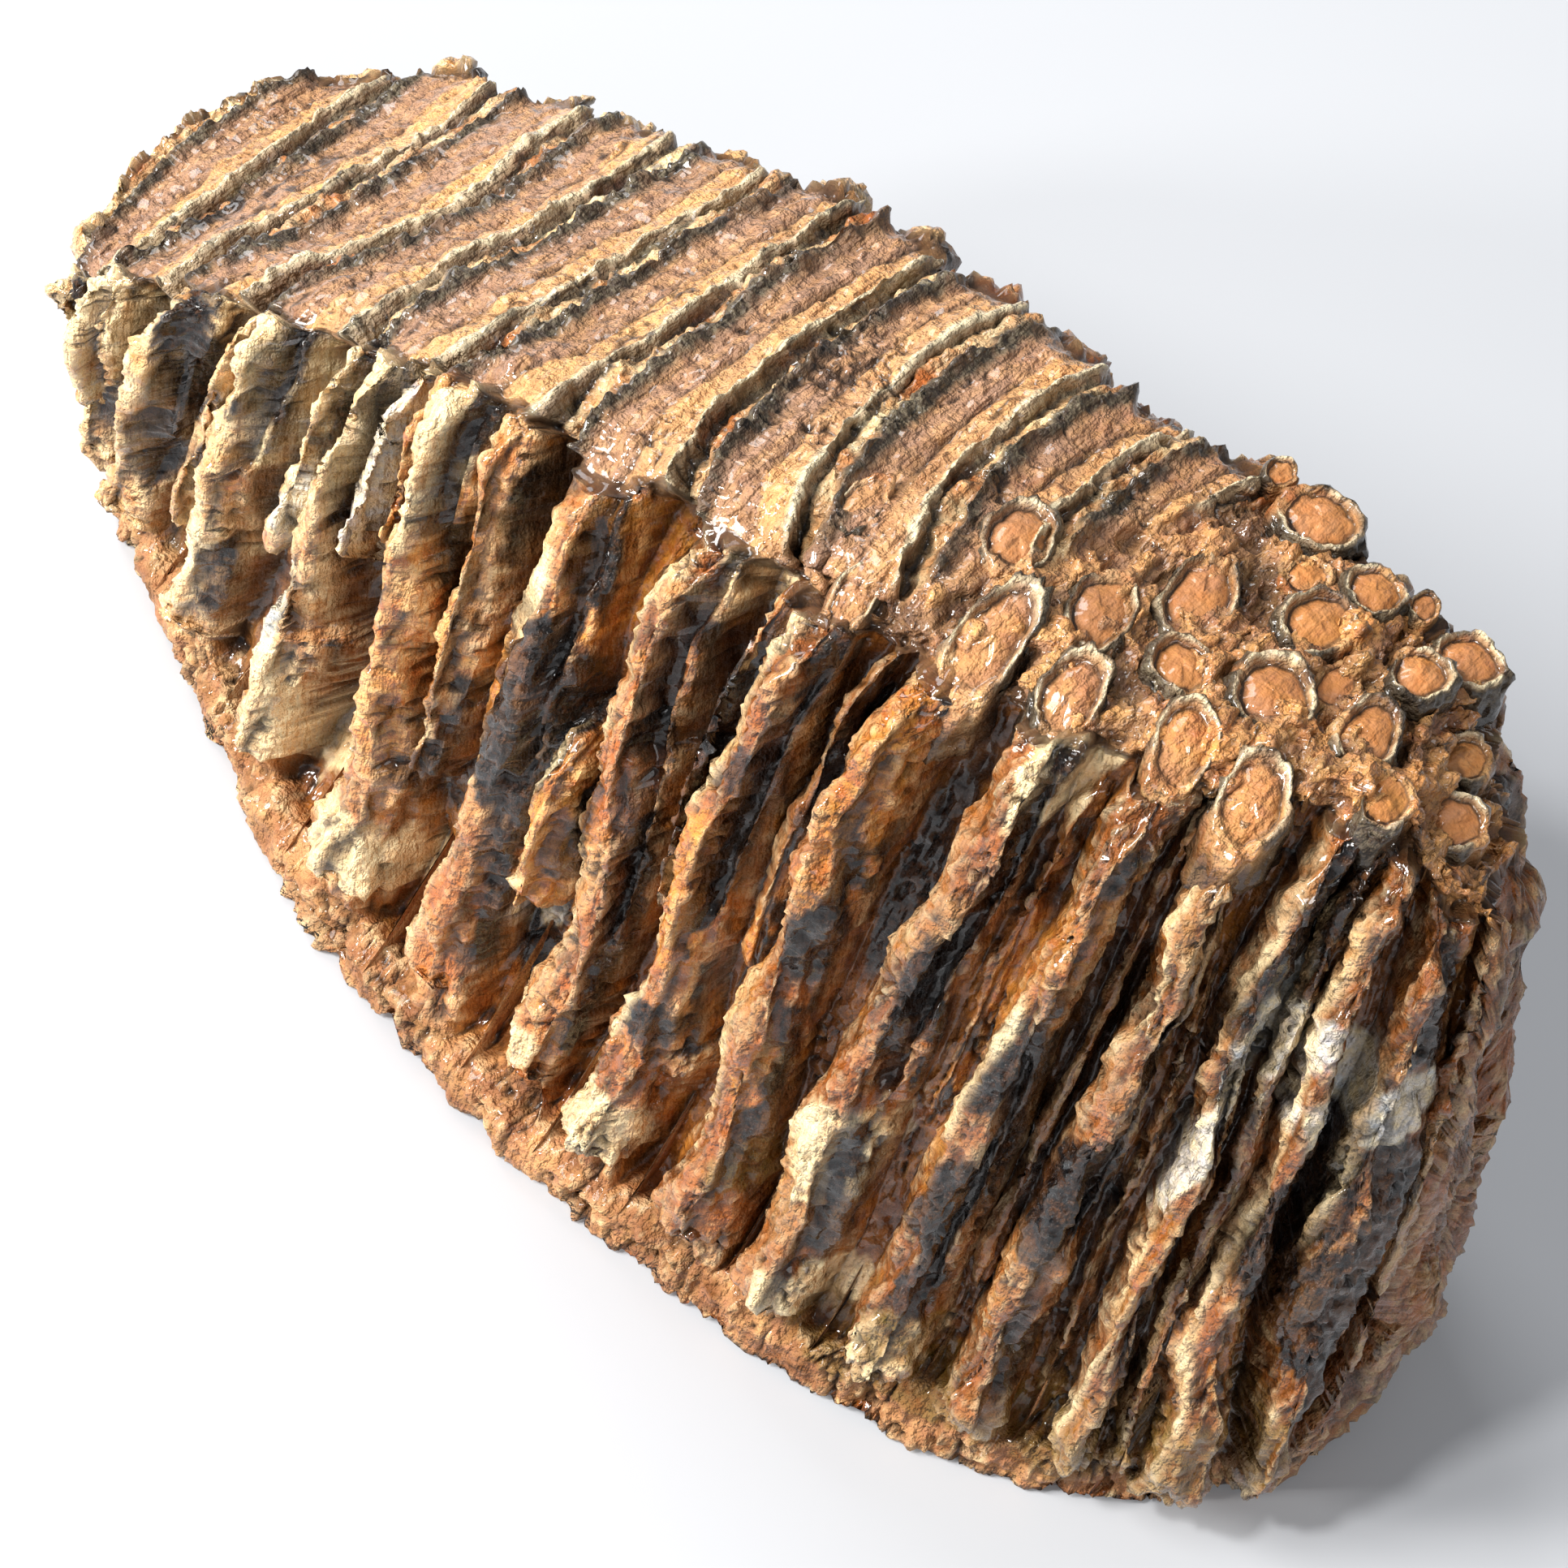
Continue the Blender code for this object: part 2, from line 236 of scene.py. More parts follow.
# %% Rows and columns
FINE = 1.0
ROWS_IN_PLATE = round(42 * FINE)
END_ROWS = round(34 * FINE)
NEAR, KNEE, TOP, BROW, FAR, UNDER = (round(n * FINE) for n in (190, 22, 150, 14, 120, 34))
KNEE_ACROSS, KNEE_UP = 0.15, 0.045  # the size of the round edges, in tooth coordinates


def lane(start, end, count):
    """Places from start up to, but not at, end."""
    return start + (end - start) * np.arange(count) / count


quarter_near = lane(0, math.pi / 2, KNEE)
quarter_far = lane(0, math.pi / 2, BROW)
COLUMN_ACROSS = np.concatenate([
    np.full(NEAR, -1.0),
    -1 + KNEE_ACROSS * (1 - np.cos(quarter_near)),
    lane(-1 + KNEE_ACROSS, 1 - KNEE_ACROSS, TOP),
    1 - KNEE_ACROSS * (1 - np.sin(quarter_far)),
    np.full(FAR, 1.0),
    lane(1.0, -1.0, UNDER),
])
COLUMN_UP = np.concatenate([
    lane(0.0, 1 - KNEE_UP, NEAR),
    1 - KNEE_UP * (1 - np.sin(quarter_near)),
    np.full(TOP, 1.0),
    1 - KNEE_UP * (1 - np.cos(quarter_far)),
    lane(1 - KNEE_UP, 0.0, FAR),
    np.zeros(UNDER),
])
COLUMNS = len(COLUMN_ACROSS)
# rows crowd together where a rib falls steeply into its slot
fine_share = np.linspace(-0.5, 0.5, 401)
crowd = np.cumsum(1 + 1.5 * np.exp(-(((np.abs(fine_share) - 0.37) / 0.07) ** 2)))
crowd = (crowd - crowd[0]) / (crowd[-1] - crowd[0])
one_plate = np.interp(np.arange(ROWS_IN_PLATE) / ROWS_IN_PLATE, crowd, fine_share)
row_plate = np.concatenate([one_plate + n for n in PLATE_NUMBERS] + [[PLATES + 0.5]])
shrink = (np.arange(1, END_ROWS + 1) / END_ROWS) ** 1.15 * 0.97
ROW_PLATE = np.concatenate([np.full(END_ROWS, 0.5), row_plate, np.full(END_ROWS, PLATES + 0.5)])
ROW_SHRINK = np.concatenate([shrink[::-1], np.zeros(len(row_plate)), shrink])
ROWS = len(ROW_PLATE)
END_MIDDLE = (0.0, 0.45)
plate = np.repeat(ROW_PLATE[:, None], COLUMNS, 1)
keep = 1 - ROW_SHRINK[:, None]
across = COLUMN_ACROSS * keep + END_MIDDLE[0] * (1 - keep)
up = COLUMN_UP * keep + END_MIDDLE[1] * (1 - keep)
body = body_point(plate, across, up)
x, y, z = (body[:, :, n] for n in range(3))
on_end = ROW_SHRINK[:, None] > 0
print("rows:", ROWS, "columns:", COLUMNS, "points:", ROWS * COLUMNS)

# %% [markdown]
# Relief stands at right angles to a surface, so each point needs its direction outwards.
# It is the cross product of the steps to the neighbours along and round.

# %% Directions outwards
def softened(field, passes, ways=(0, 1)):
    """A field averaged with its neighbours, round the closed rows and along them."""
    for _ in range(passes):
        if 1 in ways:
            field = (np.roll(field, 1, 1) + 2 * field + np.roll(field, -1, 1)) / 4
        if 0 in ways:
            edged = np.concatenate([field[:1], field, field[-1:]])
            field = (edged[:-2] + 2 * field + edged[2:]) / 4
    return field


def outward_of(points, passes):
    """The direction outwards at every point of the net, evened out a little."""
    along_step = np.gradient(points, axis=0)
    round_step = np.roll(points, -1, 1) - np.roll(points, 1, 1)
    way = np.cross(along_step, round_step)
    way /= np.linalg.norm(way, axis=2, keepdims=True) + 1e-9
    way = softened(way, passes)
    return way / (np.linalg.norm(way, axis=2, keepdims=True) + 1e-9)


outward = outward_of(body, 6)
print("near side looks towards:", np.round(outward[ROWS // 2, NEAR // 2], 2))

# %% [markdown]
# ## Noise by hand
#
# Broken enamel and cement are irregular at every size. Noise on a lattice of fixed
# numbers gives the same pattern each run. It is read at a place in millimetres and can be
# stretched along the grain, which runs up the sides and across the chewing face.

# %% Noise along the grain
NUMBERS = np.random.default_rng(16).random(8191)
TOP_COLUMNS = slice(NEAR - round(6 * FINE), NEAR + KNEE + TOP + BROW + round(6 * FINE))


def lattice(a, b, c):
    """Smooth noise from -1 to 1 at places given in lattice steps."""
    cell = [np.floor(v).astype(np.int32) for v in (a, b, c)]
    part = [v - n for v, n in zip((a, b, c), cell)]
    part = [p * p * (3 - 2 * p) for p in part]
    base = cell[0] * 157 + cell[1] * 1301 + cell[2] * 5003
    total = 0.0
    for n in range(8):
        corner = (n & 1, n >> 1 & 1, n >> 2)
        weight = 1.0
        for p, far_corner in zip(part, corner):
            weight = weight * (p if far_corner else 1 - p)
        number = base + corner[0] * 157 + corner[1] * 1301 + corner[2] * 5003
        total = total + weight * NUMBERS[(number * 31 + (number >> 5)) % 8191]
    return total * 2 - 1


def noise(size, stretch, seed):
    """Noise over the whole net: size in mm, and how much longer it is along the grain."""
    turned_x = (ground[:, :, 0] * 0.866 + ground[:, :, 1] * 0.5) / size + seed * 17.3
    turned_y = (ground[:, :, 1] * 0.866 - ground[:, :, 0] * 0.5) / size + seed * 5.9
    upright = lattice(turned_x, turned_y, ground[:, :, 2] / (size * stretch) + seed * 11.1)
    on_top = ground[:, TOP_COLUMNS]
    turned_x = (on_top[:, :, 0] * 0.866 + on_top[:, :, 2] * 0.5) / size + seed * 7.7
    turned_z = (on_top[:, :, 2] * 0.866 - on_top[:, :, 0] * 0.5) / size + seed * 3.1
    level = lattice(turned_x, turned_z, on_top[:, :, 1] / (size * stretch) + seed * 2.3)
    share = top_share[:, TOP_COLUMNS]
    upright[:, TOP_COLUMNS] = upright[:, TOP_COLUMNS] * (1 - share) + level * share
    return upright


def rough(size, stretch, seed, octaves=3):
    """Noise upon noise: each layer has half the size and 0.55 of the height."""
    total, height = 0.0, 1.0
    for layer in range(octaves):
        total = total + height * noise(size, stretch, seed + layer)
        height, size = height * 0.55, size * 0.5
    return total * 0.8


jagged = 0.012 * lattice(x / 1.7, y / 1.7, z / 1.7) + 0.010 * lattice(x / 4.1 + 9, y / 4.1, z / 4.1)
top_share = step(0.966, 0.980, up + jagged) * (1 - on_end)
ground = body
print("noise lies between", round(noise(4, 2, 1).min(), 2), "and", round(noise(4, 2, 1).max(), 2))

# %% [markdown]
# ## Ribs on the sides
#
# The edge of each plate stands out as an upright rib with a deep slot on both sides.
# Some ribs are split, and some slots hold a sliver. Each one is an entry: where it is in
# plates, half its width in plates, how far it stands out in millimetres, and from which
# height to which.

# %% Ribs of the near side
RIBS = (
    (0.95, 0.40, 2.2, -5, 50), (2.0, 0.34, 2.2, -5, 60), (3.0, 0.30, 2.6, -5, 70),
    (3.63, 0.10, 1.4, 16, 60), (4.0, 0.26, 2.8, -5, 90), (4.68, 0.13, 2.2, 34, 90),
    (5.0, 0.20, 2.8, -5, 90), (5.36, 0.09, 2.4, 42, 90), (5.0, 0.30, 2.8, 6, 34),
    (5.72, 0.18, 2.0, 48, 90), (6.0, 0.26, 3.0, -5, 90), (6.38, 0.15, 1.6, 28, 90),
    (6.63, 0.14, -1.8, 36, 58), (6.0, 0.42, 2.8, 5, 32), (7.0, 0.36, 2.6, -5, 90),
    (7.46, 0.22, 2.6, 26, 54), (8.0, 0.31, 2.6, -5, 99), (9.0, 0.30, 2.6, -5, 99),
    (9.0, 0.44, 3.0, 6, 30), (8.66, 0.08, 1.2, 40, 99), (10.0, 0.34, 3.2, -5, 99),
    (9.52, 0.12, -1.4, 40, 86), (10.0, 0.40, 2.6, 5, 24), (11.0, 0.35, 2.8, -5, 99),
    (11.0, 0.40, 2.6, 5, 42), (11.5, 0.16, -1.2, 40, 84), (12.0, 0.34, 2.8, -5, 99),
    (12.55, 0.12, -1.6, 20, 99), (13.0, 0.34, 2.6, -5, 99), (13.5, 0.10, -1.5, 10, 70),
    (14.0, 0.30, 2.4, -5, 99), (14.55, 0.16, 0.6, 5, 99), (15.0, 0.34, 2.4, -5, 99),
    (16.0, 0.40, 2.4, -5, 99),
)
SLOT_FLOOR = -3.6
# cavities deeper than the slots: in plates, at a height, two reaches, and how much deeper
DEEP = (
    (6.64, 66, 0.22, 12, -3.5), (8.45, 66, 0.22, 13, -3.0), (7.6, 78, 0.2, 7, -2.5),
    (4.55, 40, 0.2, 13, -2.5), (3.55, 30, 0.2, 10, -2.5), (9.5, 72, 0.2, 12, -2.0),
    (5.52, 46, 0.2, 13, -2.0), (2.5, 28, 0.2, 9, -2.0), (10.5, 78, 0.2, 8, -1.5),
    (12.55, 55, 0.25, 20, -1.5), (7.5, 44, 0.2, 9, -1.5), (14.6, 50, 0.2, 20, -1.5),
)
side_near = step(0.80, 1.0, -across) * (1 - on_end) * (up > 0)
side_far = step(0.80, 1.0, across) * (1 - on_end) * (up > 0)
pitch = np.gradient(body[:, :, 0], ROW_PLATE + ROW_SHRINK * 0.001, axis=0)
pitch = np.where(on_end, 10.0, np.clip(pitch, 3.5, 18))
stray = 0.9 * noise(9, 2, 2) + 0.45 * noise(3.5, 4, 3) + 0.15 * noise(1.6, 7, 4)
rib_plate = plate + stray / pitch
swing = noise(8, 1.6, 7) + 0.4 * noise(3, 4, 8)
split = 0.24 * noise(6, 2.2, 10) + 0.12 * noise(1.8, 5, 11)
in_front = 1 - step(-25, 15, x)
rim = step(0.90, 0.975, up)
floor_down = SLOT_FLOOR * (0.95 + 0.25 * noise(7, 1.5, 9)) * (0.4 + 0.6 * step(8, 18, z))
floor_down *= 1 + 0.45 * in_front
deep = np.zeros(body.shape[:2])
for at, high, reach, reach_up, deeper in DEEP:
    one = np.exp(-(((plate - at) / reach) ** 2) - ((z - high) / reach_up) ** 2)
    floor_down += deeper * one
    deep = np.maximum(deep, one)


def rib_height(centre, half, out, low, high, floor):
    """One rib over the whole net: a round crest, and a lower flank behind a crack."""
    ends = step(low, low + 5, z) * (1 - step(high - 5, high, z))
    wide = half * (0.55 + 0.45 * ends) * (1 + 0.2 * swing) * (1 - 0.12 * in_front)
    off = np.clip((rib_plate - centre) / wide, -1.5, 1.5)
    shape = np.sqrt(np.clip(1 - np.abs(off) ** 2.3, 0, 1))
    shape = shape * (1 - 0.15 * step(0.28, 0.36, off + split))
    return floor + (out + 0.5 - floor) * shape * np.sqrt(ends), off


def all_ribs(ribs, floor):
    """The highest of all ribs at each point, and which part of that rib it is."""
    stand, part = floor.copy(), np.ones(floor.shape) * 1.5
    for rib in ribs:
        one, off = rib_height(*rib, floor)
        part = np.where(one > stand, off, part)
        stand = np.maximum(stand, one)
    return stand, part


far_list = [
    (n, 0.37 + 0.05 * math.sin(n * 1.7), 2.2 + 0.6 * math.sin(n * 2.4), -5, 99)
    for n in PLATE_NUMBERS
]
near_ribs, near_part = all_ribs(RIBS, floor_down)
far_ribs, far_part = all_ribs(far_list, floor_down * 0.75)
slot_near = 1 - step(0.25, 0.75, (near_ribs - floor_down) / (2.6 - floor_down))
slot_far = 1 - step(0.25, 0.75, (far_ribs - floor_down * 0.75) / (2.2 - floor_down * 0.75))
part = np.where(side_near > 0, near_part, far_part)
rib_crack = np.exp(-(((part - 0.30 + split) / 0.055) ** 2))
shell_line = np.exp(-(((part + 0.70 + split) / 0.11) ** 2)) * step(-0.15, 0.15, noise(8, 2.4, 12))
flank = step(0.30, 0.38, part + split) * (1 - step(0.85, 1.0, part))
print("ribs on the near side:", len(RIBS), "slots go in", -SLOT_FLOOR, "mm")

# %% [markdown]
# Lumps and swellings stand on the ribs: the knobs that end them above the band, the
# beads of rib 10, the big smooth swelling low at the back. Each is a place along the
# tooth, a height, two reaches and how far it stands out, all in millimetres.

# %% Lumps on the near side
LUMPS = (
    (-36.0, 18, 4.5, 6, 1.6), (-20.5, 16, 6, 6, 1.2), (-6.5, 20, 5, 6, 1.0), (5.5, 18, 4, 6, 1.2),
    (14.5, 14, 4.5, 5, 2.2), (26.5, 15, 4, 4.5, 1.6), (38.0, 13, 4.5, 5, 1.4),
    (48.0, 13, 4.5, 5, 1.6), (26.6, 80, 3.6, 3.5, 1.2), (25.2, 70.5, 3.8, 3.5, 1.3),
    (25.4, 62.5, 3.6, 3.0, 1.0), (26.8, 87, 3.4, 3.0, 1.4), (46.0, 70, 3.0, 3.5, 1.2),
    (37.5, 86, 4.5, 4.0, 1.6), (0.6, 40, 2.6, 9, 1.4), (77.5, 22, 10, 15, 3.2),
    (-5.5, 50, 4.0, 9, 0.8), (36.2, 32, 4.5, 7, 0.8), (54.6, 55, 3.5, 6, 0.8),
    (-22, 55, 3.5, 9, 0.8), (-80, 27, 5, 4, 1.2), (63.5, 58, 3, 10, 0.8),
)
beads = np.zeros(body.shape[:2])
for at, high, reach, reach_up, out in LUMPS:
    beads += out * np.exp(-(((x - at) / reach) ** 2) - ((z - high) / reach_up) ** 2)
near_ribs += beads * np.maximum(1 - slot_near, 0.25)
near_ribs += 1.6 * np.exp(-(((z - 11.0) / 4.5) ** 2)) * (0.1 + 0.9 * (1 - slot_near))
# gashes that part a rib lengthwise: where and half their width in plates, from and to in mm
GASHES = (
    (0.98, 0.055, 14, 48), (1.42, 0.07, 10, 44), (2.05, 0.05, 18, 60), (2.80, 0.05, 26, 70),
    (3.18, 0.045, 14, 44), (4.10, 0.045, 36, 84), (5.12, 0.045, 44, 86), (6.12, 0.04, 48, 88),
    (7.14, 0.045, 40, 88), (8.16, 0.04, 30, 90), (9.12, 0.04, 44, 92), (11.16, 0.04, 40, 92),
    (12.12, 0.04, 20, 60), (13.12, 0.04, 34, 90), (14.1, 0.04, 20, 70), (3.86, 0.035, 46, 84),
)
GASH_DEEP = 2.4
gashes = np.zeros(body.shape[:2])
for at, half, low, high in GASHES:
    reached = step(low, low + 7, z) * (1 - step(high - 7, high, z))
    off = (rib_plate - at + 0.05 * swing) / half
    gashes = np.maximum(gashes, reached * np.exp(-(off**2)))
near_ribs -= GASH_DEEP * gashes
print("lumps:", len(LUMPS), "gashes:", len(GASHES))

# %% [markdown]
# ## The chewing face
#
# Wear cuts the plates off flat, so each one shows as a long loop: a bumpy dark enamel
# wall in front, dentine behind it that is worn into a dish, and a crisp pale enamel ridge
# at the back, crimped like a ruffle. Cement fills the gap to the next plate and lies
# lowest. Towards the back the plates break up into single rings, which come later as
# pieces of their own, and only cement is left between them.

# %% Ridges and dishes
crimp = 0.30 * noise(1.5, 1, 21) + 0.42 * noise(3.2, 1.2, 22) + 0.5 * noise(9, 1, 23)
share = plate - np.round(plate) + crimp / pitch
share = np.where(share > 0.5, share - 1, share)
share = np.where(share < -0.5, share + 1, share)
BACK_RIDGE, FRONT_RIDGE, CLEFT = 0.355, -0.31, 0.06


def ridge(at, half_mm, power=2.0):
    """1 along an enamel wall at this share of the pitch, falling off to both sides."""
    off = np.abs(share - at) * pitch / half_mm
    return np.exp(-(off**power))


# how far across the plates are still whole, seen from the near side
WHOLE_PLATE = (7.5, 8.5, 9.5, 10.5, 11.2, 11.8)
WHOLE_ACROSS = (-0.95, -0.85, -0.7, -0.25, 0.35, 1.3)
whole_until = np.interp(plate, WHOLE_PLATE, WHOLE_ACROSS)
broken = step(-0.1, 0.1, whole_until - across + 0.15 * noise(4, 1, 24)) * step(7.5, 9, plate)
whole = 1 - broken
worn_bits = rough(2.2, 1.4, 26, 3)
back_ridge = ridge(BACK_RIDGE, 0.50, 2.6) * whole
front_ridge = ridge(FRONT_RIDGE, 0.85, 2.2) * whole
# Painted shadow: a dark line just behind each pale ridge, over a slight dip.
painted_ridge_shadow = np.exp(-((((share - BACK_RIDGE) * pitch - 0.80) / 0.45) ** 2)) * whole
inside = 1 - step(BACK_RIDGE - 0.04, BACK_RIDGE + 0.02, share)
inside = inside * step(FRONT_RIDGE - 0.02, FRONT_RIDGE + 0.05, share) * whole
loop = 1 - step(BACK_RIDGE + 0.02, BACK_RIDGE + 0.07, share)
gap = (1 - loop * step(FRONT_RIDGE - 0.09, FRONT_RIDGE - 0.02, share)) * whole
cleft = ridge(CLEFT, 0.22) * whole * step(-0.5, 0.2, noise(8, 1, 37))
near_edge = step(0.6, 1.0, -across)
lumpy = np.abs(noise(1.5, 1.2, 38)) + 0.5 * np.abs(noise(0.8, 1, 39))
gap_down = (0.9 + 5.0 * near_edge) * (0.8 + 0.7 * noise(5, 1.3, 31))
chew = -0.5 * inside - gap_down * gap - 1.3 * broken
chew += 0.7 * noise(10, 1, 32) - 0.5 * near_edge**2 + 1.2 * near_edge * noise(6, 1, 36)
chew += back_ridge * (0.35 + 0.5 * noise(2.2, 1, 33) + 0.3 * noise(0.9, 1, 34))
chew += front_ridge * (0.1 + 0.9 * lumpy + 0.4 * noise(4, 1, 35)) - 0.5 * painted_ridge_shadow
chew += inside * (0.35 * step(CLEFT, BACK_RIDGE, share) + 0.3 * worn_bits) - 0.4 * cleft
chew += gap * 1.0 * np.clip(worn_bits, 0, 1) + broken * 1.4 * worn_bits
print("the chewing face lies between", round(chew.min(), 1), "and", round(chew.max(), 1), "mm")

# %% [markdown]
# The band round the foot is broken root and cement, lumpy and pitted. The end faces have
# upright folds like the ribs of the sides. The base is nearly flat, because the tooth
# stands on it, with shallow hollows.

# %% Band, ends and base
band_z = z + 1.2 * noise(5, 1, 91) + 0.5 * noise(1.5, 1, 90)
band = (1 - step(6.0, 7.5, band_z)) * (up > 0) * (1 - on_end * 0.5)
pits = step(0.1, 0.35, noise(4, 0.8, 95)) * (1 - step(3.0, 4.5, z))
band_relief = 0.9 * noise(6, 0.7, 92) - 2.2 * pits
fold = np.cos((y + 1.6 * noise(6, 2.4, 97)) * math.tau / 8.6)
end_relief = np.where(on_end, 1.9 * np.sign(fold) * np.abs(fold) ** 0.5 - 0.6, 0)
end_relief = end_relief * step(8, 13, z) * np.clip(ROW_SHRINK[:, None] * 8, 0, 1)
relief = near_ribs * side_near + far_ribs * side_far
relief = np.where(relief > 0, relief * (1 - 0.85 * rim), relief) * (1 - band)
relief = relief * (1 - top_share) + chew * top_share
relief += band * band_relief + end_relief
underneath = (up == 0) & (np.abs(across) < 1)
relief = np.where(underneath, -1.6 * np.clip(rough(9, 1, 99, 3), 0, 1), relief)
skin = body + outward * relief[:, :, None]
print("large relief from", round(relief.min(), 1), "to", round(relief.max(), 1), "mm")

# %% [markdown]
# ## Layers, cracks and strands
#
# A thin crust of cement covers the enamel of the sides and has flaked off in patches with
# ragged edges. Strands, long cracks and fine fibres follow the grain. All of it is about
# a millimetre or less, but it catches the light everywhere. It is laid on the large
# relief, so the flanks of the ribs get their share too.

# %% Crust and cracks
ground = skin
outward = outward_of(skin, 3)


def terraces(field, count, sharp):
    """A field cut into flat levels with steep steps, like flakes lying on each other."""
    level = field * count
    whole_level = np.floor(level)
    return (whole_level + step(1 - sharp, 1, level - whole_level)) / count


strands = np.abs(noise(2.3, 6.5, 41)) * 1.5 - 0.5
grit = np.abs(noise(1.2, 1.5, 43)) * 1.2 - 0.4
fibres = noise(0.7, 8, 81)
tiny = noise(0.55, 1.4, 85)
sheet_noise = noise(2.1, 11, 87) + 0.25 * noise(1.1, 5, 88)
sheets = (np.abs(sheet_noise) * 1.6 - 0.5) * (0.25 + 0.75 * in_front)
crust_field = rough(4.2, 2.4, 51, 4) + 0.22 * noise(0.7, 1.6, 57)
crust = step(-0.04, 0.02, crust_field + 0.25 * in_front)
flakes = terraces(crust_field + 0.12 * fibres, 3.2, 0.22)
second_field = rough(2.6, 2.8, 61, 4) + 0.2 * noise(0.6, 1.6, 66)
second = step(0.16, 0.22, second_field)
chips = terraces(second_field, 3.5, 0.25)
crack_line = np.abs(noise(2.9, 6.0, 71) + 0.25 * noise(1.0, 2, 72))
crack = (1 - step(0.01, 0.06, crack_line)) * step(-0.2, 0.2, noise(9, 1.3, 73))
cross_line = np.abs(noise(5, 0.8, 74) + 0.35 * noise(1.2, 1, 75))
cross = (1 - step(0.01, 0.05, cross_line)) * step(0.0, 0.3, noise(6, 1, 76))
crack = np.maximum(crack, rib_crack * (1 - top_share) * (1 - on_end))
quiet = 1 - 0.45 * (slot_near * side_near + slot_far * side_far)
soft_side = 0.35 * strands + 0.8 * sheets + 0.95 * flakes + 0.7 * chips + 0.25 * grit
soft_side = (soft_side + 0.14 * fibres + 0.14 * tiny) * quiet
soft_side += 0.35 * shell_line - 0.65 * crack - 0.5 * cross
soft_top = 0.12 * strands + 0.30 * flakes + 0.40 * chips + 0.22 * grit + 0.12 * fibres + 0.14 * tiny
soft_top = soft_top * (1 + 0.8 * np.maximum(gap, broken)) - 0.35 * cross
fine = soft_side * (1 - top_share) + soft_top * top_share
fine = np.where(underneath, 0.4 * grit, fine)
skin = skin + outward * fine[:, :, None]
skin[:, :, 2] = np.maximum(skin[:, :, 2], 0.0)
print("share under crust:", round(float(crust.mean()), 2))

# %% [markdown]
# ## What lies where
#
# The finish differs from place to place. Masks say how much of each there is at a point, and the
# material reads them. Broad patches are listed with their place and size; noise breaks up their
# borders.
# Some of the masks paint shade into hollows, slots, grooves and along ridges.

# %% Masks
PATCHES = {
    "cream": (
        (-38.5, 55, 2.5, 12), (-33, 64, 3.2, 14), (-36, 20, 3, 8), (-74, 32, 7, 9),
        (-78, 20, 6, 8), (-13, 77, 3, 3), (39, 86, 3.5, 6), (14.5, 13, 5, 5), (4, 13, 3, 4),
        (-20, 14, 5, 5), (39, 12, 4, 4), (8, 80, 1.8, 5), (-46, 52, 3, 10), (36.5, 34, 4.5, 7),
        (48, 14, 3, 4), (-34, 14, 5, 5), (-65, 44, 4, 7), (-57, 50, 2, 9), (-52, 26, 3, 8),
        (-23, 66, 2, 9), (-70, 20, 3, 5), (-9, 62, 1.5, 7),
    ),
    "black": (
        (-58, 36, 2.2, 17), (-43, 35, 2.6, 12), (-37, 34, 1.6, 6), (-5.5, 50, 5, 12),
        (-1, 19, 2.5, 7), (16.5, 67, 2, 3), (16.5, 31.5, 3.5, 3), (27.5, 55, 2, 6),
        (37.5, 58, 2, 8), (46, 55, 2.6, 6), (47.5, 38, 3, 9), (55.5, 44, 3, 8), (3.5, 45, 1.6, 8),
        (-27, 34, 2, 10), (-12, 68, 2, 9), (48, 22, 2, 7), (70, 50, 3, 12), (75, 38, 4, 9),
        (31.5, 60, 1.6, 14), (11.5, 62, 1.6, 12), (79, 55, 4, 14), (1, 72, 1, 8), (22, 70, 1, 9),
        (-67, 34, 1.4, 6), (60, 75, 2, 12), (-15, 30, 1.5, 9),
    ),
    "amber": (
        (0.5, 40, 2.8, 13), (43.5, 40, 2.6, 6), (28, 34, 2.2, 6), (-20, 46, 4, 16),
        (43.2, 62, 1.6, 16), (-12.5, 47, 2, 8), (27, 75, 3, 12), (53.5, 28, 1.4, 6),
        (-25, 62, 2.5, 10), (72, 33, 2.5, 8), (16, 52, 2.5, 12), (64, 42, 2, 10), (22, 46, 2, 6),
        (-4, 70, 3, 9), (46, 72, 2.5, 5),
    ),
    "olive": ((67, 9, 9, 6), (52, 8, 12, 3.5), (30, 22, 3, 4), (48, 16, 4, 3), (74, 16, 5, 6)),
    "frost": (
        (-29.3, 57, 1.3, 12), (-37.5, 28, 2, 4), (61.3, 57, 1.2, 13), (62.5, 68, 3.5, 4),
        (-1.5, 22, 1.6, 4), (22.5, 36, 1.2, 5), (-36.8, 42, 1.6, 6), (70, 62, 5, 4),
    ),
}


def patch_mask(name, seed):
    """1 inside the listed patches, 0 outside, with ragged borders along the grain."""
    near = np.full(body.shape[:2], 9.0)
    for at, high, reach, reach_up in PATCHES[name]:
        near = np.minimum(near, np.hypot((x - at) / reach, (z - high) / reach_up))
    ragged = 0.45 * rough(2.4, 2.5, seed, 4)
    return step(-0.12, 0.12, 1 - near + ragged) * side_near


masks = {name: patch_mask(name, 100 + 7 * n) for n, name in enumerate(PATCHES)}
on_sides = np.maximum(side_near, side_far) * step(10, 16, z)
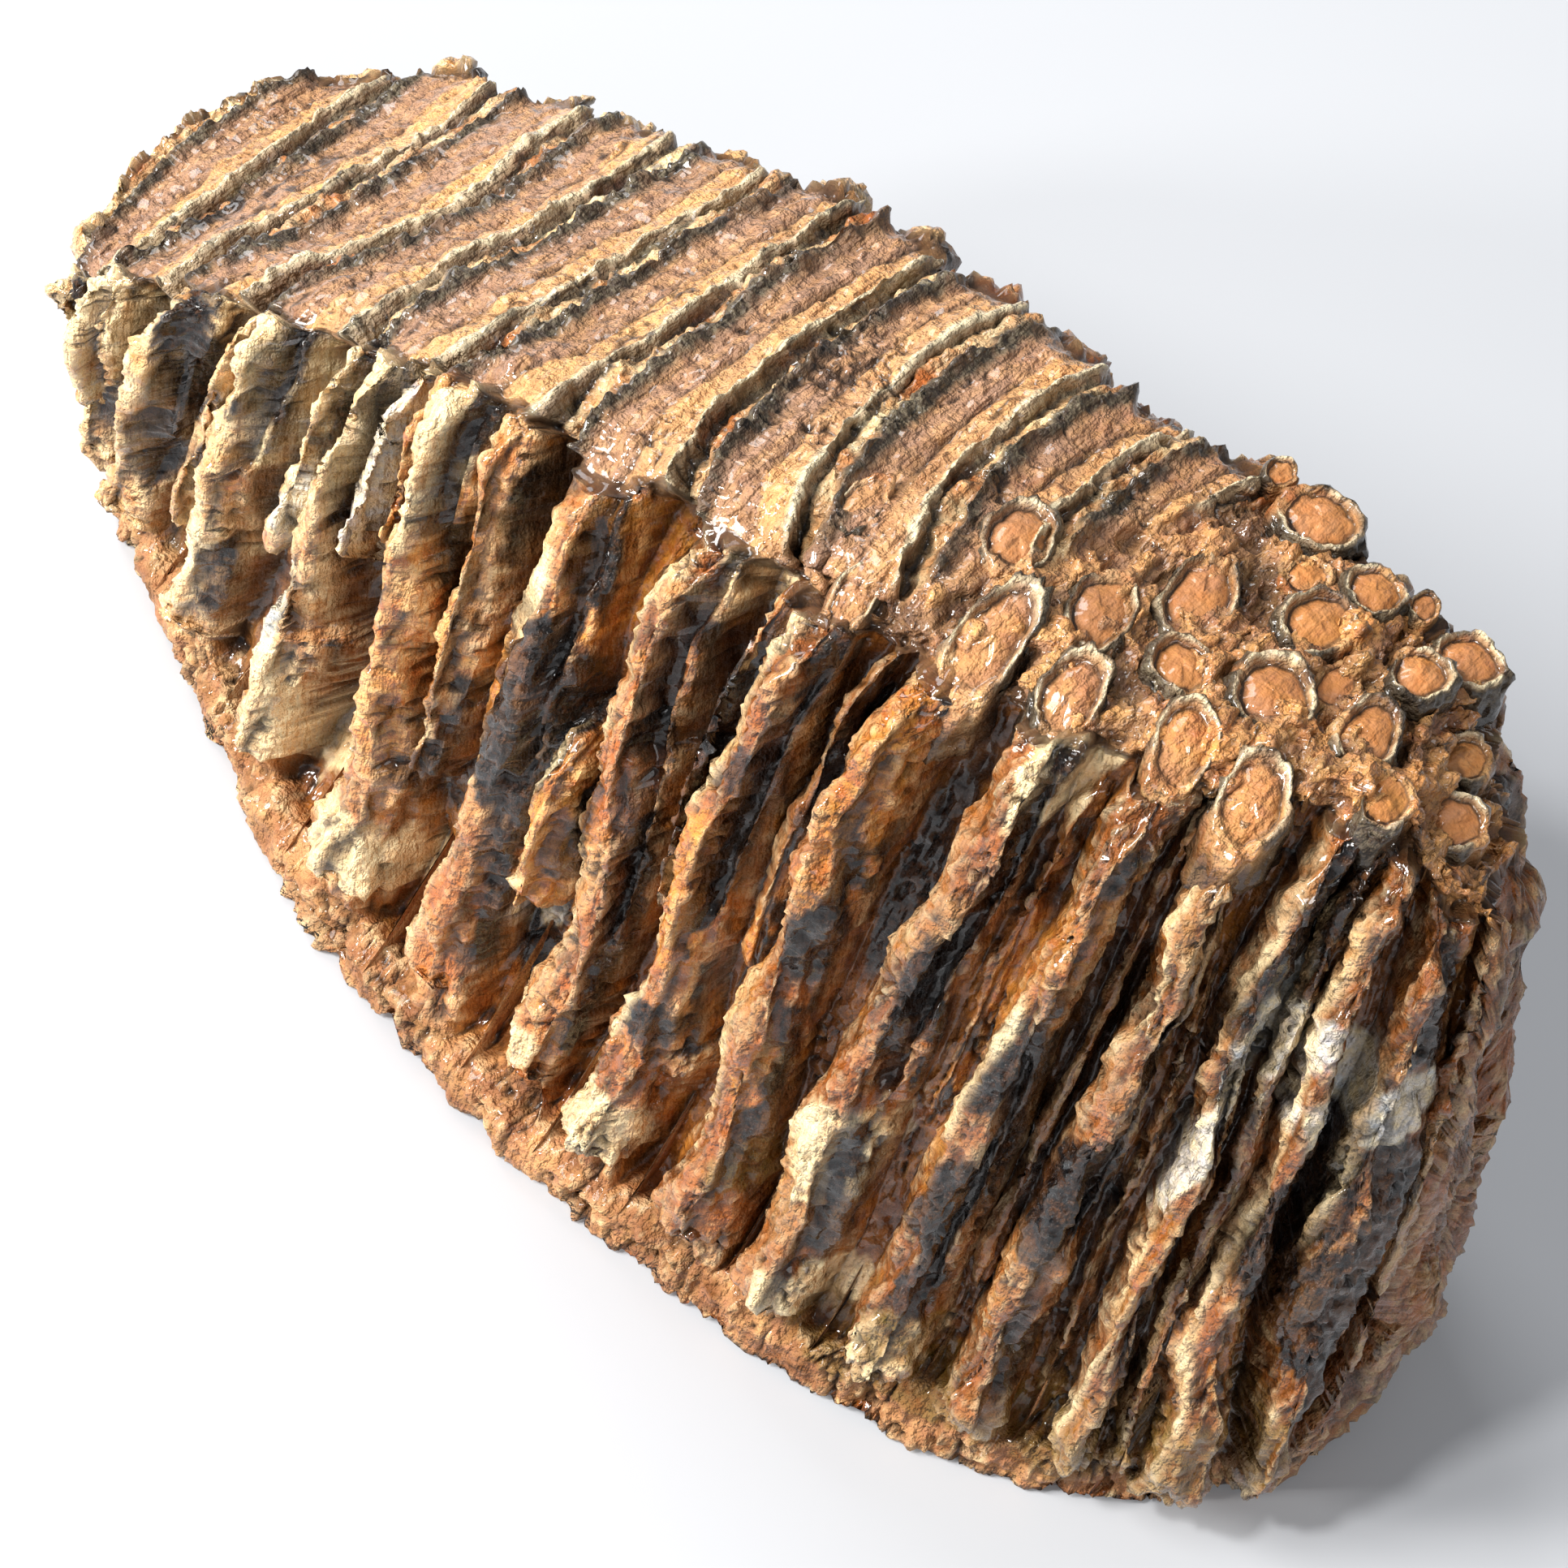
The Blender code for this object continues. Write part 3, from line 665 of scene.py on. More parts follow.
# Black on the rib flanks behind the cracks, which face away from the light: partly black stain,
# partly painted shade.
black_and_shaded_flank = flank * step(-0.02, 0.06, rough(5, 2.2, 131, 3))
black_sheet = (1 - step(0.03, 0.14, np.abs(sheet_noise + 0.1))) * in_front
black_sheet = black_sheet * step(0.0, 0.2, noise(7, 1.6, 137))
masks["black"] = np.maximum(masks["black"], np.maximum(black_and_shaded_flank, black_sheet) * on_sides)
height = relief + fine
fine_hollow = softened(height, 3) - height
broad_hollow = softened(height, 30) - height
slot = slot_near * side_near + slot_far * side_far
slot = slot * (1 - band) * (1 - top_share)
# Painted shade: hollows, deep cavities in the slots, gashes and low spots among broken plates are
# darkened by this mask.
painted_hollow_shade = step(0.08, 0.5, fine_hollow) * 0.5 + step(0.5, 2.6, broad_hollow) + deep * slot * 1.3
between = broken * top_share * step(-0.1, 0.5, -worn_bits)
painted_hollow_shade = np.clip(painted_hollow_shade + gashes * side_near * (1 - top_share) + 0.7 * between, 0, 1)
crest = np.clip(step(0.04, 0.35, -fine_hollow), 0, 1)
for name, mask in masks.items():
    print(name, "covers", round(float(mask[side_near > 0.5].mean()), 3), "of the near side")

# %% [markdown]
# ## Pieces
#
# The skin is cut in the slots between the plates, because a piece of it per plate is
# easy to handle. Each one starts as a flat grid that is bent round the tooth. Its seam is
# merged, and both open ends are extruded inwards and drawn together to a point, so it is
# closed. The bent grid faces inwards, so all faces are turned over in the end.

# %% Make one piece for each plate
sheet_edge = shell_line * (1 - top_share) * (1 - slot) * (1 - band)
enamel_pale = np.clip(back_ridge * 1.5 - 0.4, 0, 1) * top_share + sheet_edge
# The dark enamel of the front walls, with the painted shadow line behind the pale ridges.
dark_enamel_and_shadow = front_ridge * (0.8 + 0.8 * step(-0.3, 0.3, worn_bits)) + painted_ridge_shadow
dark_enamel_and_shadow = np.clip(dark_enamel_and_shadow, 0, 1) * top_share
orange_share = (inside * (share > CLEFT) + broken * step(0.0, 0.3, worn_bits)) * top_share
none = np.zeros(body.shape[:2])
FIELDS = {
    "layers": (crust * (1 - top_share), masks["black"], masks["amber"], enamel_pale),
    # The fourth channel here is dark enamel with painted shadow lines.
    "stains_and_shade": (masks["cream"], masks["frost"], masks["olive"], dark_enamel_and_shadow),
    "depths": (painted_hollow_shade, crest, top_share, band),
    "face": (orange_share, gap * top_share, none, second),
    "slots": (slot, np.maximum(crack, cross), cleft * top_share, none),
}
FIELDS = {name: np.stack(parts, -1).astype(np.float32) for name, parts in FIELDS.items()}


def write(mesh, name, values):
    """Stores a mask of four channels on the points of a mesh."""
    layer = mesh.attributes.new(name, "FLOAT_COLOR", "POINT")
    layer.data.foreach_set("color", values.ravel())


def closed_rows(net, first, last):
    """Rows first..last of a net, with the first column again at the end."""
    return np.concatenate([net[first : last + 1], net[first : last + 1, :1]], 1)


def plate_piece(name, first, last):
    """Bends a grid to rows first..last of the skin and closes its ends."""
    bpy.ops.object.select_all(action="DESELECT")
    rows = last - first + 1
    bpy.ops.mesh.primitive_grid_add(x_subdivisions=COLUMNS, y_subdivisions=rows - 1, size=0.1)
    piece = bpy.context.object
    piece.name = name
    mesh = piece.data
    part = closed_rows(skin, first, last)
    mesh.vertices.foreach_set("co", ((part - MIDDLE) * MM).astype(np.float32).ravel())
    for field, values in FIELDS.items():
        write(mesh, field, closed_rows(values, first, last))
    mesh.update()
    bpy.ops.object.mode_set(mode="EDIT")
    bpy.ops.mesh.select_all(action="SELECT")
    bpy.ops.mesh.remove_doubles(threshold=1e-7)
    bpy.ops.mesh.select_all(action="DESELECT")
    bpy.ops.mesh.select_mode(type="EDGE")
    bpy.ops.mesh.select_non_manifold(
        extend=False, use_multi_face=False, use_non_contiguous=False, use_verts=False
    )
    bpy.ops.mesh.mark_sharp()
    bpy.ops.mesh.extrude_edges_move()
    centre = part.mean((0, 1)) - MIDDLE
    bpy.ops.transform.resize(value=(1, 0.9, 0.93), center_override=tuple(centre * MM))
    bpy.ops.mesh.extrude_edges_move()
    bpy.ops.mesh.merge(type="COLLAPSE")
    bpy.ops.mesh.select_all(action="SELECT")
    bpy.ops.mesh.flip_normals()
    bpy.ops.mesh.faces_shade_smooth()
    bpy.ops.object.mode_set(mode="OBJECT")
    return piece


plates = []
for number in PLATE_NUMBERS:
    first = END_ROWS + (number - 1) * ROWS_IN_PLATE
    last = first + ROWS_IN_PLATE
    first = 0 if number == 1 else first
    last = ROWS - 1 if number == PLATES else last
    plates.append(plate_piece(f"plate_{number:02d}", int(first), int(last)))
faces = sum(len(piece.data.loops) - 2 * len(piece.data.polygons) for piece in plates)
print("pieces:", len(plates), "triangles:", faces)

# %% [markdown]
# ## Rings
#
# Towards the back the plates are hardly worn, and only the tips of their finger-like
# columns are cut. Each tip shows as a ring of enamel round a core of dentine. One ring is
# modelled from a cylinder by insets and cuts, because it is round all over, and then
# copied. Each copy gets its own oval, height and broken places in its wall.

# %% Model one ring
RING_SIDES, RING_DEEP, RING_CUTS = 60, 5.0, 7
bpy.ops.object.select_all(action="DESELECT")
bpy.ops.mesh.primitive_cylinder_add(
    vertices=RING_SIDES, radius=1, depth=RING_DEEP, location=(0, 0, -RING_DEEP / 2)
)
model = bpy.context.object
model.name = "ring_model"
bpy.ops.object.transform_apply(location=True, rotation=False, scale=False)
bpy.ops.object.mode_set(mode="EDIT")
bpy.ops.mesh.select_mode(type="FACE")
bpy.ops.mesh.select_all(action="DESELECT")
bpy.ops.object.mode_set(mode="OBJECT")
for polygon in model.data.polygons:
    polygon.select = len(polygon.vertices) > 4 and polygon.center.z > -0.001
bpy.ops.object.mode_set(mode="EDIT")
for width in (0.05, 0.05, 0.05, 0.05, 0.05, 0.05, 0.06, 0.07, 0.08, 0.09, 0.10, 0.10, 0.10):
    bpy.ops.mesh.inset(thickness=width)
bpy.ops.mesh.poke()
bpy.ops.mesh.select_mode(type="EDGE")
bpy.ops.mesh.select_all(action="DESELECT")
bpy.ops.object.mode_set(mode="OBJECT")
for edge in model.data.edges:
    a, b = (model.data.vertices[n].co for n in edge.vertices)
    edge.select = abs(a.z - b.z) > RING_DEEP * 0.9
bpy.ops.object.mode_set(mode="EDIT")
bpy.ops.mesh.subdivide(number_cuts=RING_CUTS)
bpy.ops.mesh.select_all(action="SELECT")
bpy.ops.mesh.faces_shade_smooth()
bpy.ops.object.mode_set(mode="OBJECT")
print("faces of the ring:", len(model.data.polygons), "points:", len(model.data.vertices))

# %% [markdown]
# The profile of a ring goes from its middle outwards: a low dome of dentine, a groove, the enamel
# wall standing highest, and an outside that runs down into the cement. The groove, the outside and
# the sides below are painted dark as shade.

# %% Copy the ring to its places
# x and y, half its width along and across, height, lean, open side and how far open
RINGS = (
    (23.0, -3.4, 3.0, 3.9, 0.5, 8, -70, 0.8), (32.0, -4.2, 2.8, 4.5, 0.5, 14, 100, 0.7),
    (40.1, -4.7, 2.9, 2.7, 0.7, 0, -20, 0.5), (36.5, 3.7, 2.9, 5.2, 0.7, 12, 90, 0.4),
    (47.2, -1.8, 3.4, 4.0, 1.1, 4, 180, 0.2), (44.9, 7.6, 2.8, 3.8, 1.0, -4, 0, 0.3),
    (46.3, 13.9, 2.5, 2.7, 1.2, 0, 90, 0.6), (54.5, 0.6, 2.6, 3.6, 1.0, 5, 200, 0.4),
    (53.8, 8.8, 2.6, 2.7, 1.2, 0, 160, 0.6), (55.3, 14.3, 2.9, 3.0, 1.5, 0, 230, 0.5),
    (38.6, 17.2, 3.6, 3.4, 2.0, 0, 180, 0.7), (33.4, 18.6, 1.3, 1.7, 3.0, 0, 0, 1.6),
    (63.6, 2.0, 2.5, 3.1, 0.9, 0, 20, 0.7), (27.5, -12.4, 2.9, 5.4, 0.5, 6, -90, 1.1),
    (52.0, -10.8, 2.9, 4.2, 0.7, 14, -90, 1.2), (44.8, -10.4, 2.6, 3.9, 0.6, 14, -90, 1.1),
    (49.7, 16.4, 1.2, 1.7, 2.2, 0, 0, 1.3), (60.2, 9.0, 2.4, 2.7, 0.7, 0, 40, 0.9),
    (35.6, -12.6, 2.6, 3.8, 0.6, 10, -60, 1.0), (49.7, 3.5, 1.7, 2.7, 0.5, 0, 0, 3.2),
    (41.3, 11.8, 1.8, 2.4, 0.4, 0, 0, 3.2), (59.2, -4.0, 2.2, 2.9, 0.5, 8, 60, 1.2),
    (16.6, -15.4, 1.8, 3.2, 0.3, 8, -90, 1.5), (11.3, -8.4, 1.8, 3.4, 0.2, 4, 90, 1.5),
)
model_points = np.array([v.co for v in model.data.vertices])
model_z = model_points[:, 2]
from_middle = np.hypot(model_points[:, 0], model_points[:, 1])
turned = np.arctan2(model_points[:, 1], model_points[:, 0])
down, flat = np.minimum(model_z, 0), np.zeros(len(model_z))
is_top = (model_z > -0.01).astype(float)
PROFILE_AT = (0, 0.25, 0.45, 0.62, 0.70, 0.76, 0.82, 0.90, 0.95, 1.0)
PROFILE_UP = (0.30, 0.26, 0.12, -0.10, -0.22, 0.05, 0.30, 0.25, 0.0, -0.5)
top_net = skin[:, TOP_COLUMNS].reshape(-1, 3)


def around(angle, seed, waves=(1, 2, 3, 5, 8, 13, 21)):
    """Irregular numbers round a circle, about -1 to 1, that meet where they began."""
    dice = np.random.default_rng(seed).random((len(waves), 2))
    total = 0.0
    for n, (height, start) in zip(waves, dice):
        total = total + (0.4 + height) / n**0.6 * np.sin(n * angle + math.tau * start)
    return total * 0.5


rings = []
for number, (at_x, at_y, wide, deep, rise, lean, open_at, open_by) in enumerate(RINGS, 1):
    bpy.ops.object.select_all(action="DESELECT")
    model.select_set(True)
    bpy.context.view_layer.objects.active = model
    bpy.ops.object.duplicate(linked=False)
    ring = bpy.context.object
    ring.name = f"ring_{number:02d}"
    around_it = np.hypot(top_net[:, 0] - at_x, top_net[:, 1] - at_y) < max(wide, 2.0)
    stand = float(np.median(top_net[around_it, 2]))
    uneven = 1 + 0.14 * around(turned, number)
    wide, deep = wide * 1.08, deep * 1.08
    gone = np.abs((turned - math.radians(open_at) + math.pi) % math.tau - math.pi)
    kept = step(open_by * 0.7, open_by * 1.15, gone + 0.12 * around(turned, number + 50))
    kept = kept * (open_by < 3)
    radius = from_middle * uneven
    thick = 0.075 + 0.02 * around(turned, number + 70)
    wall = np.exp(-(((from_middle - 0.85) / thick) ** 2)) * kept
    up_by = np.interp(from_middle, PROFILE_AT, PROFILE_UP) * (0.45 + 0.55 * kept)
    up_by = up_by * min(1.3, wide / 2.4) + wall * (0.15 + 0.25 * around(turned, number + 90))
    here_x, here_y = radius * np.cos(turned) * wide, radius * np.sin(turned) * deep
    calm = 1 - 0.7 * (1 - step(0.55, 0.7, from_middle))
    bits = 0.30 * calm * lattice(here_x / 1.3 + number * 9.1, here_y / 1.3, model_z / 2)
    bits += 0.22 * calm * lattice(here_x / 0.5 + number * 3.7, here_y / 0.5, model_z)
    flare = 1 - 0.03 * down
    spread_x = here_x * flare * (1 + 0.3 * bits * (from_middle > 0.9))
    spread_y = here_y * flare * (1 + 0.3 * bits * (from_middle > 0.9))
    slant = math.tan(math.radians(lean))
    place_x = at_x + spread_x - spread_y * slant
    place_y = at_y + spread_y
    tip = 0.45 * float(step(7, 12, -at_y))
    place_z = stand + rise - 0.2 + down + (up_by + bits) * is_top
    place_z += tip * (spread_y + 0.15 * deep)
    points = np.stack([place_x, place_y, place_z], -1)
    ring.data.vertices.foreach_set("co", ((points - MIDDLE) * MM).astype(np.float32).ravel())
    core = (1 - step(0.62, 0.72, from_middle)) * is_top * (0.35 if tip else 1)
    worn_wall = step(-0.5, 0.2, lattice(here_x / 1.6 + number * 5.3, here_y / 1.6, flat + 0.5))
    shell = np.clip(wall * 1.2, 0, 1) * is_top * worn_wall
    # Painted shadow: a dark line just outside the wall.
    outside = step(0.86, 0.92, from_middle + 0.03 * around(turned, number + 30))
    outside = outside * (0.6 + 0.4 * kept)
    # Painted shade in the groove round the core and down the sides.
    groove = np.exp(-(((from_middle - 0.68) / 0.05) ** 2)) * is_top
    painted_ring_shade = np.clip(groove * 0.7 * kept + step(0.3, 3.0, -down), 0, 1)
    bare = (1 - kept) * step(0.6, 0.75, from_middle)
    for field, values in {
        "layers": (flat, flat, flat, shell),
        "stains_and_shade": (flat, flat, flat, np.clip(outside * kept + wall * (1 - worn_wall), 0, 1)),
        "depths": (painted_ring_shade, np.clip(wall, 0, 1) * 0.5, flat + 1, flat),
        "face": (core * (1 if number % 3 == 0 else 0.55), 0.6 * bare, core, flat),
        "slots": (flat, flat, groove * 0.6, flat),
    }.items():
        write(ring.data, field, np.stack(values, -1).astype(np.float32))
    ring.data.update()
    rings.append(ring)
bpy.data.objects.remove(model)
ring_faces = sum(len(ring.data.loops) - 2 * len(ring.data.polygons) for ring in rings)
print("rings:", len(rings), "triangles:", ring_faces)

# %% [markdown]
# ## The finish
#
# The material reads the masks. A small class lets shader sums be written like any other.

# %% A class for shader sums
class Value:
    """A socket of the material that adds, multiplies and so on by making nodes."""

    def __init__(self, maker, socket):
        self.maker, self.socket = maker, socket

    def math(self, operation, *others):
        settings = {"operation": operation}
        inputs = dict(enumerate((self, *others)))
        return self.maker.node("ShaderNodeMath", settings, inputs)

    def __add__(self, other):
        return self.math("ADD", other)

    def __sub__(self, other):
        return self.math("SUBTRACT", other)

    def __rsub__(self, other):
        return self.maker.node("ShaderNodeMath", {"operation": "SUBTRACT"}, {0: other, 1: self})

    def __mul__(self, other):
        return self.math("MULTIPLY", other)

    __radd__, __rmul__ = __add__, __mul__

    def over(self, low, high):
        """0 below low and 1 above high."""
        inputs = {"Value": self, "From Min": low, "From Max": high}
        return self.maker.node("ShaderNodeMapRange", {"clamp": True}, inputs)


class Finish:
    """One material while it is being made."""

    def __init__(self, name):
        self.material = bpy.data.materials.new(name)
        self.material.use_nodes = True
        self.tree = self.material.node_tree
        self.shader = self.tree.nodes["Principled BSDF"]

    def put(self, socket, value):
        if isinstance(value, Value):
            self.tree.links.new(value.socket, socket)
        else:
            socket.default_value = value

    def node(self, kind, settings=None, inputs=None, output=0):
        """Adds a node, sets it, fills its sockets and gives one of its outputs."""
        made = self.tree.nodes.new(kind)
        for key, value in (settings or {}).items():
            setattr(made, key, value)
        for key, value in (inputs or {}).items():
            self.put(made.inputs[key], value)
        return Value(self, made.outputs[output])

    def mix(self, share, low, high):
        """A colour between two."""
        settings = {"data_type": "RGBA"}
        return self.node("ShaderNodeMix", settings, {0: share, 6: low, 7: high}, 2)

    def channels(self, name):
        """The four channels of a mask attribute."""
        made = self.tree.nodes.new("ShaderNodeAttribute")
        made.attribute_name = name
        parts = self.tree.nodes.new("ShaderNodeSeparateColor")
        self.tree.links.new(made.outputs["Color"], parts.inputs["Color"])
        return [Value(self, s) for s in (*parts.outputs, made.outputs["Alpha"])]

    def noise(self, vector, scale, detail=3.0, roughness=0.55):
        inputs = {"Vector": vector, "Scale": scale, "Detail": detail, "Roughness": roughness}
        return self.node("ShaderNodeTexNoise", {"noise_dimensions": "3D"}, inputs)

    def stretch(self, vector, factors):
        inputs = {0: vector, 1: factors}
        return self.node("ShaderNodeVectorMath", {"operation": "MULTIPLY"}, inputs)


def colour(red, green, blue):
    """A colour given as it looks, from 0 to 255, turned into the renderer's numbers."""
    return (*(round((c / 255) ** 2.2, 4) for c in (red, green, blue)), 1.0)


print("tan in the renderer's numbers:", colour(190, 140, 85))

# %% [markdown]
# Streaks follow the grain: up the sides, and across the tooth on the chewing face. So the
# place is squeezed along the grain before the noise is read.

# %% Colours of the fossil
CREAM, TAN, OCHRE = colour(255, 232, 182), colour(228, 178, 118), colour(226, 150, 60)
RUST, BROWN, DARK = colour(184, 98, 38), colour(116, 70, 32), colour(27, 17, 9)
BLACK, FROST, OLIVE = colour(15, 17, 20), colour(214, 218, 220), colour(116, 94, 44)
PALE_RIDGE, DARK_RIDGE = colour(222, 206, 168), colour(32, 30, 26)
PLUM, ORANGE, PINK = colour(166, 128, 104), colour(218, 164, 108), colour(166, 112, 78)

fossil = Finish("varnished_fossil")
mix = fossil.mix
crust_m, black_m, amber_m, pale_m = fossil.channels("layers")
cream_m, frost_m, olive_m, dark_enamel_and_shadow_m = fossil.channels("stains_and_shade")
painted_hollow_shade_m, crest_m, top_m, band_m = fossil.channels("depths")
orange_m, gap_m, core_m, second_m = fossil.channels("face")
slot_m, crack_m, cleft_m, _ = fossil.channels("slots")
place = fossil.node("ShaderNodeTexCoord", output=3)
upright = fossil.stretch(place, (1.0, 1.0, 0.16))
level = fossil.stretch(place, (1.0, 0.16, 1.0))
inputs = {0: top_m, 4: upright, 5: level}
grain_at = fossil.node("ShaderNodeMix", {"data_type": "VECTOR"}, inputs, 1)
blotch = fossil.noise(place, 150, 3, 0.6).over(0.34, 0.66)
mottle = fossil.noise(place, 520, 3, 0.68).over(0.34, 0.66)
speck = fossil.noise(place, 1700, 1.5, 0.7).over(0.36, 0.64)
streak = fossil.noise(grain_at, 620, 3, 0.65).over(0.34, 0.66)
thread = fossil.noise(grain_at, 1500, 2, 0.65).over(0.36, 0.64)

along_x = fossil.node("ShaderNodeSeparateXYZ", None, {0: place})
# front is 1 at the front end: there the sides get lighter, partly with painted light, and the slots
# darker with painted shade.
front = along_x.over(0.005, -0.055)
rear = along_x.over(0.010, 0.050)
drift = (0.9 * fossil.noise(place, 90, 2, 0.6) + 0.12 * front).over(0.33, 0.60)
inputs = {"Vector": place, "Scale": 900, "Detail": 1.0}
wobble = fossil.node("ShaderNodeTexNoise", {"noise_dimensions": "3D"}, inputs, 1)
inputs = {0: grain_at, 1: fossil.stretch(wobble, (0.0009, 0.0003, 0.0002))}
shifted = fossil.node("ShaderNodeVectorMath", {"operation": "ADD"}, inputs)
inputs = {"Vector": shifted, "Scale": 520, "Randomness": 1.0}
crackle = fossil.node("ShaderNodeTexVoronoi", {"feature": "DISTANCE_TO_EDGE"}, inputs)
seam = (1 - crackle.over(0.0, 0.08)) * blotch * (1 - 0.7 * cream_m) * (1 - 0.6 * band_m)
under = mix(streak, BROWN, RUST)
under = mix(thread * 0.35, under, DARK)
coat_tone = mix(drift, RUST, mix(blotch, OCHRE, TAN))
coat_tone = mix(mottle * (0.35 + 0.6 * front) * drift, coat_tone, CREAM)
coat_tone = mix(streak * 0.4, coat_tone, RUST)
coat_tone = mix(thread * 0.25, coat_tone, BROWN)
side = mix(crust_m * (0.75 + 0.2 * front), mix(front * 0.5, under, TAN), coat_tone)
# The slots have their own rust and brown tone, darkened by painted shade, most at the front.
slot_tone_with_shade = mix(blotch, mix(streak, BROWN, RUST), mix(streak, RUST, OCHRE))
slot_tone_with_shade = mix(0.15 + 0.25 * mottle + 0.45 * front, slot_tone_with_shade, DARK)
side = mix(slot_m * 0.9, side, slot_tone_with_shade)
side = mix(amber_m * 0.85, side, mix(mottle, RUST, OCHRE))
# Painted shade: the back end of the sides is darkened, as less light falls there.
side = mix(rear * (0.4 + 0.25 * mottle), side, mix(streak, DARK, BROWN))
# Cream and ochre flecks at the front end: partly their own colour, partly painted light where the
# light falls most; the seams there are fainter too.
front_flecks_and_painted_light = front * mottle * crust_m * (1 - slot_m) * 0.45
side = mix(front_flecks_and_painted_light, side, mix(blotch, OCHRE, CREAM))
cream_tone = mix(streak * 0.6, CREAM, mix(blotch, TAN, OCHRE))
side = mix(cream_m * (0.6 + 0.35 * mottle), side, cream_tone)
black_tone = mix(speck * 0.45, BLACK, mix(mottle, BLACK, BROWN))
side = mix(black_m * (1 - 0.2 * second_m), side, black_tone)
side = mix(frost_m * 0.7, side, mix(mottle, FROST, CREAM))
side = mix(pale_m * 0.75, side, mix(speck * 0.12, mix(blotch, CREAM, TAN), DARK_RIDGE))
side = mix(speck * 0.10, side, DARK)
side = mix(seam * (0.5 - 0.25 * front), side, DARK)
plum_tone = mix(streak * 0.7, PLUM, mix(mottle, BROWN, ORANGE))
orange_tone = mix(mottle * 0.6, ORANGE, TAN)
orange_tone = mix(thread * 0.35, orange_tone, RUST)
gap_tone = mix(blotch, mix(mottle, RUST, BROWN), mix(mottle, TAN, CREAM))
worn = mix(orange_m * (0.4 + 0.6 * drift), plum_tone, orange_tone)
worn = mix(gap_m * 0.95, worn, gap_tone)
worn = mix(rear * blotch * 0.55, worn, mix(mottle, RUST, OCHRE))
greenish = rear * (1 - blotch) * (1 - 0.6 * core_m) * 0.5
worn = mix(greenish, worn, mix(mottle, BROWN, OLIVE))
worn = mix(speck * 0.14, worn, DARK)
worn = mix(seam * 0.25 * (1 - core_m), worn, DARK)
worn = mix(core_m * (0.15 + 0.45 * mottle), worn, mix(blotch, RUST, BROWN))
dirt = speck * (0.25 + 0.5 * blotch)
ridge_tone = mix(dirt, PALE_RIDGE, mix(mottle, DARK_RIDGE, PLUM))
worn = mix(pale_m * 0.92, worn, ridge_tone)
# Dark enamel, and painted shadow behind the pale ridges and round the rings.
worn = mix(dark_enamel_and_shadow_m * 0.92, worn, mix(speck * blotch * 0.2, DARK_RIDGE, PALE_RIDGE))
# Dark clefts in the dentine, and painted shade in the ring grooves.
worn = mix(cleft_m * 0.7, worn, DARK)
tone = mix(top_m, side, worn)
root = mix(mottle, PINK, mix(blotch, BROWN, ORANGE))
root = mix((1 - blotch) * streak * 0.4, root, DARK)
tone = mix(band_m * 0.9, tone, root)
tone = mix(olive_m * 0.75, tone, mix(mottle, OLIVE, BROWN))
tone = mix(crest_m * 0.35 * mottle * (1 - top_m) * (1 - 0.95 * black_m), tone, CREAM)
tone = mix(crack_m * 0.85, tone, DARK)
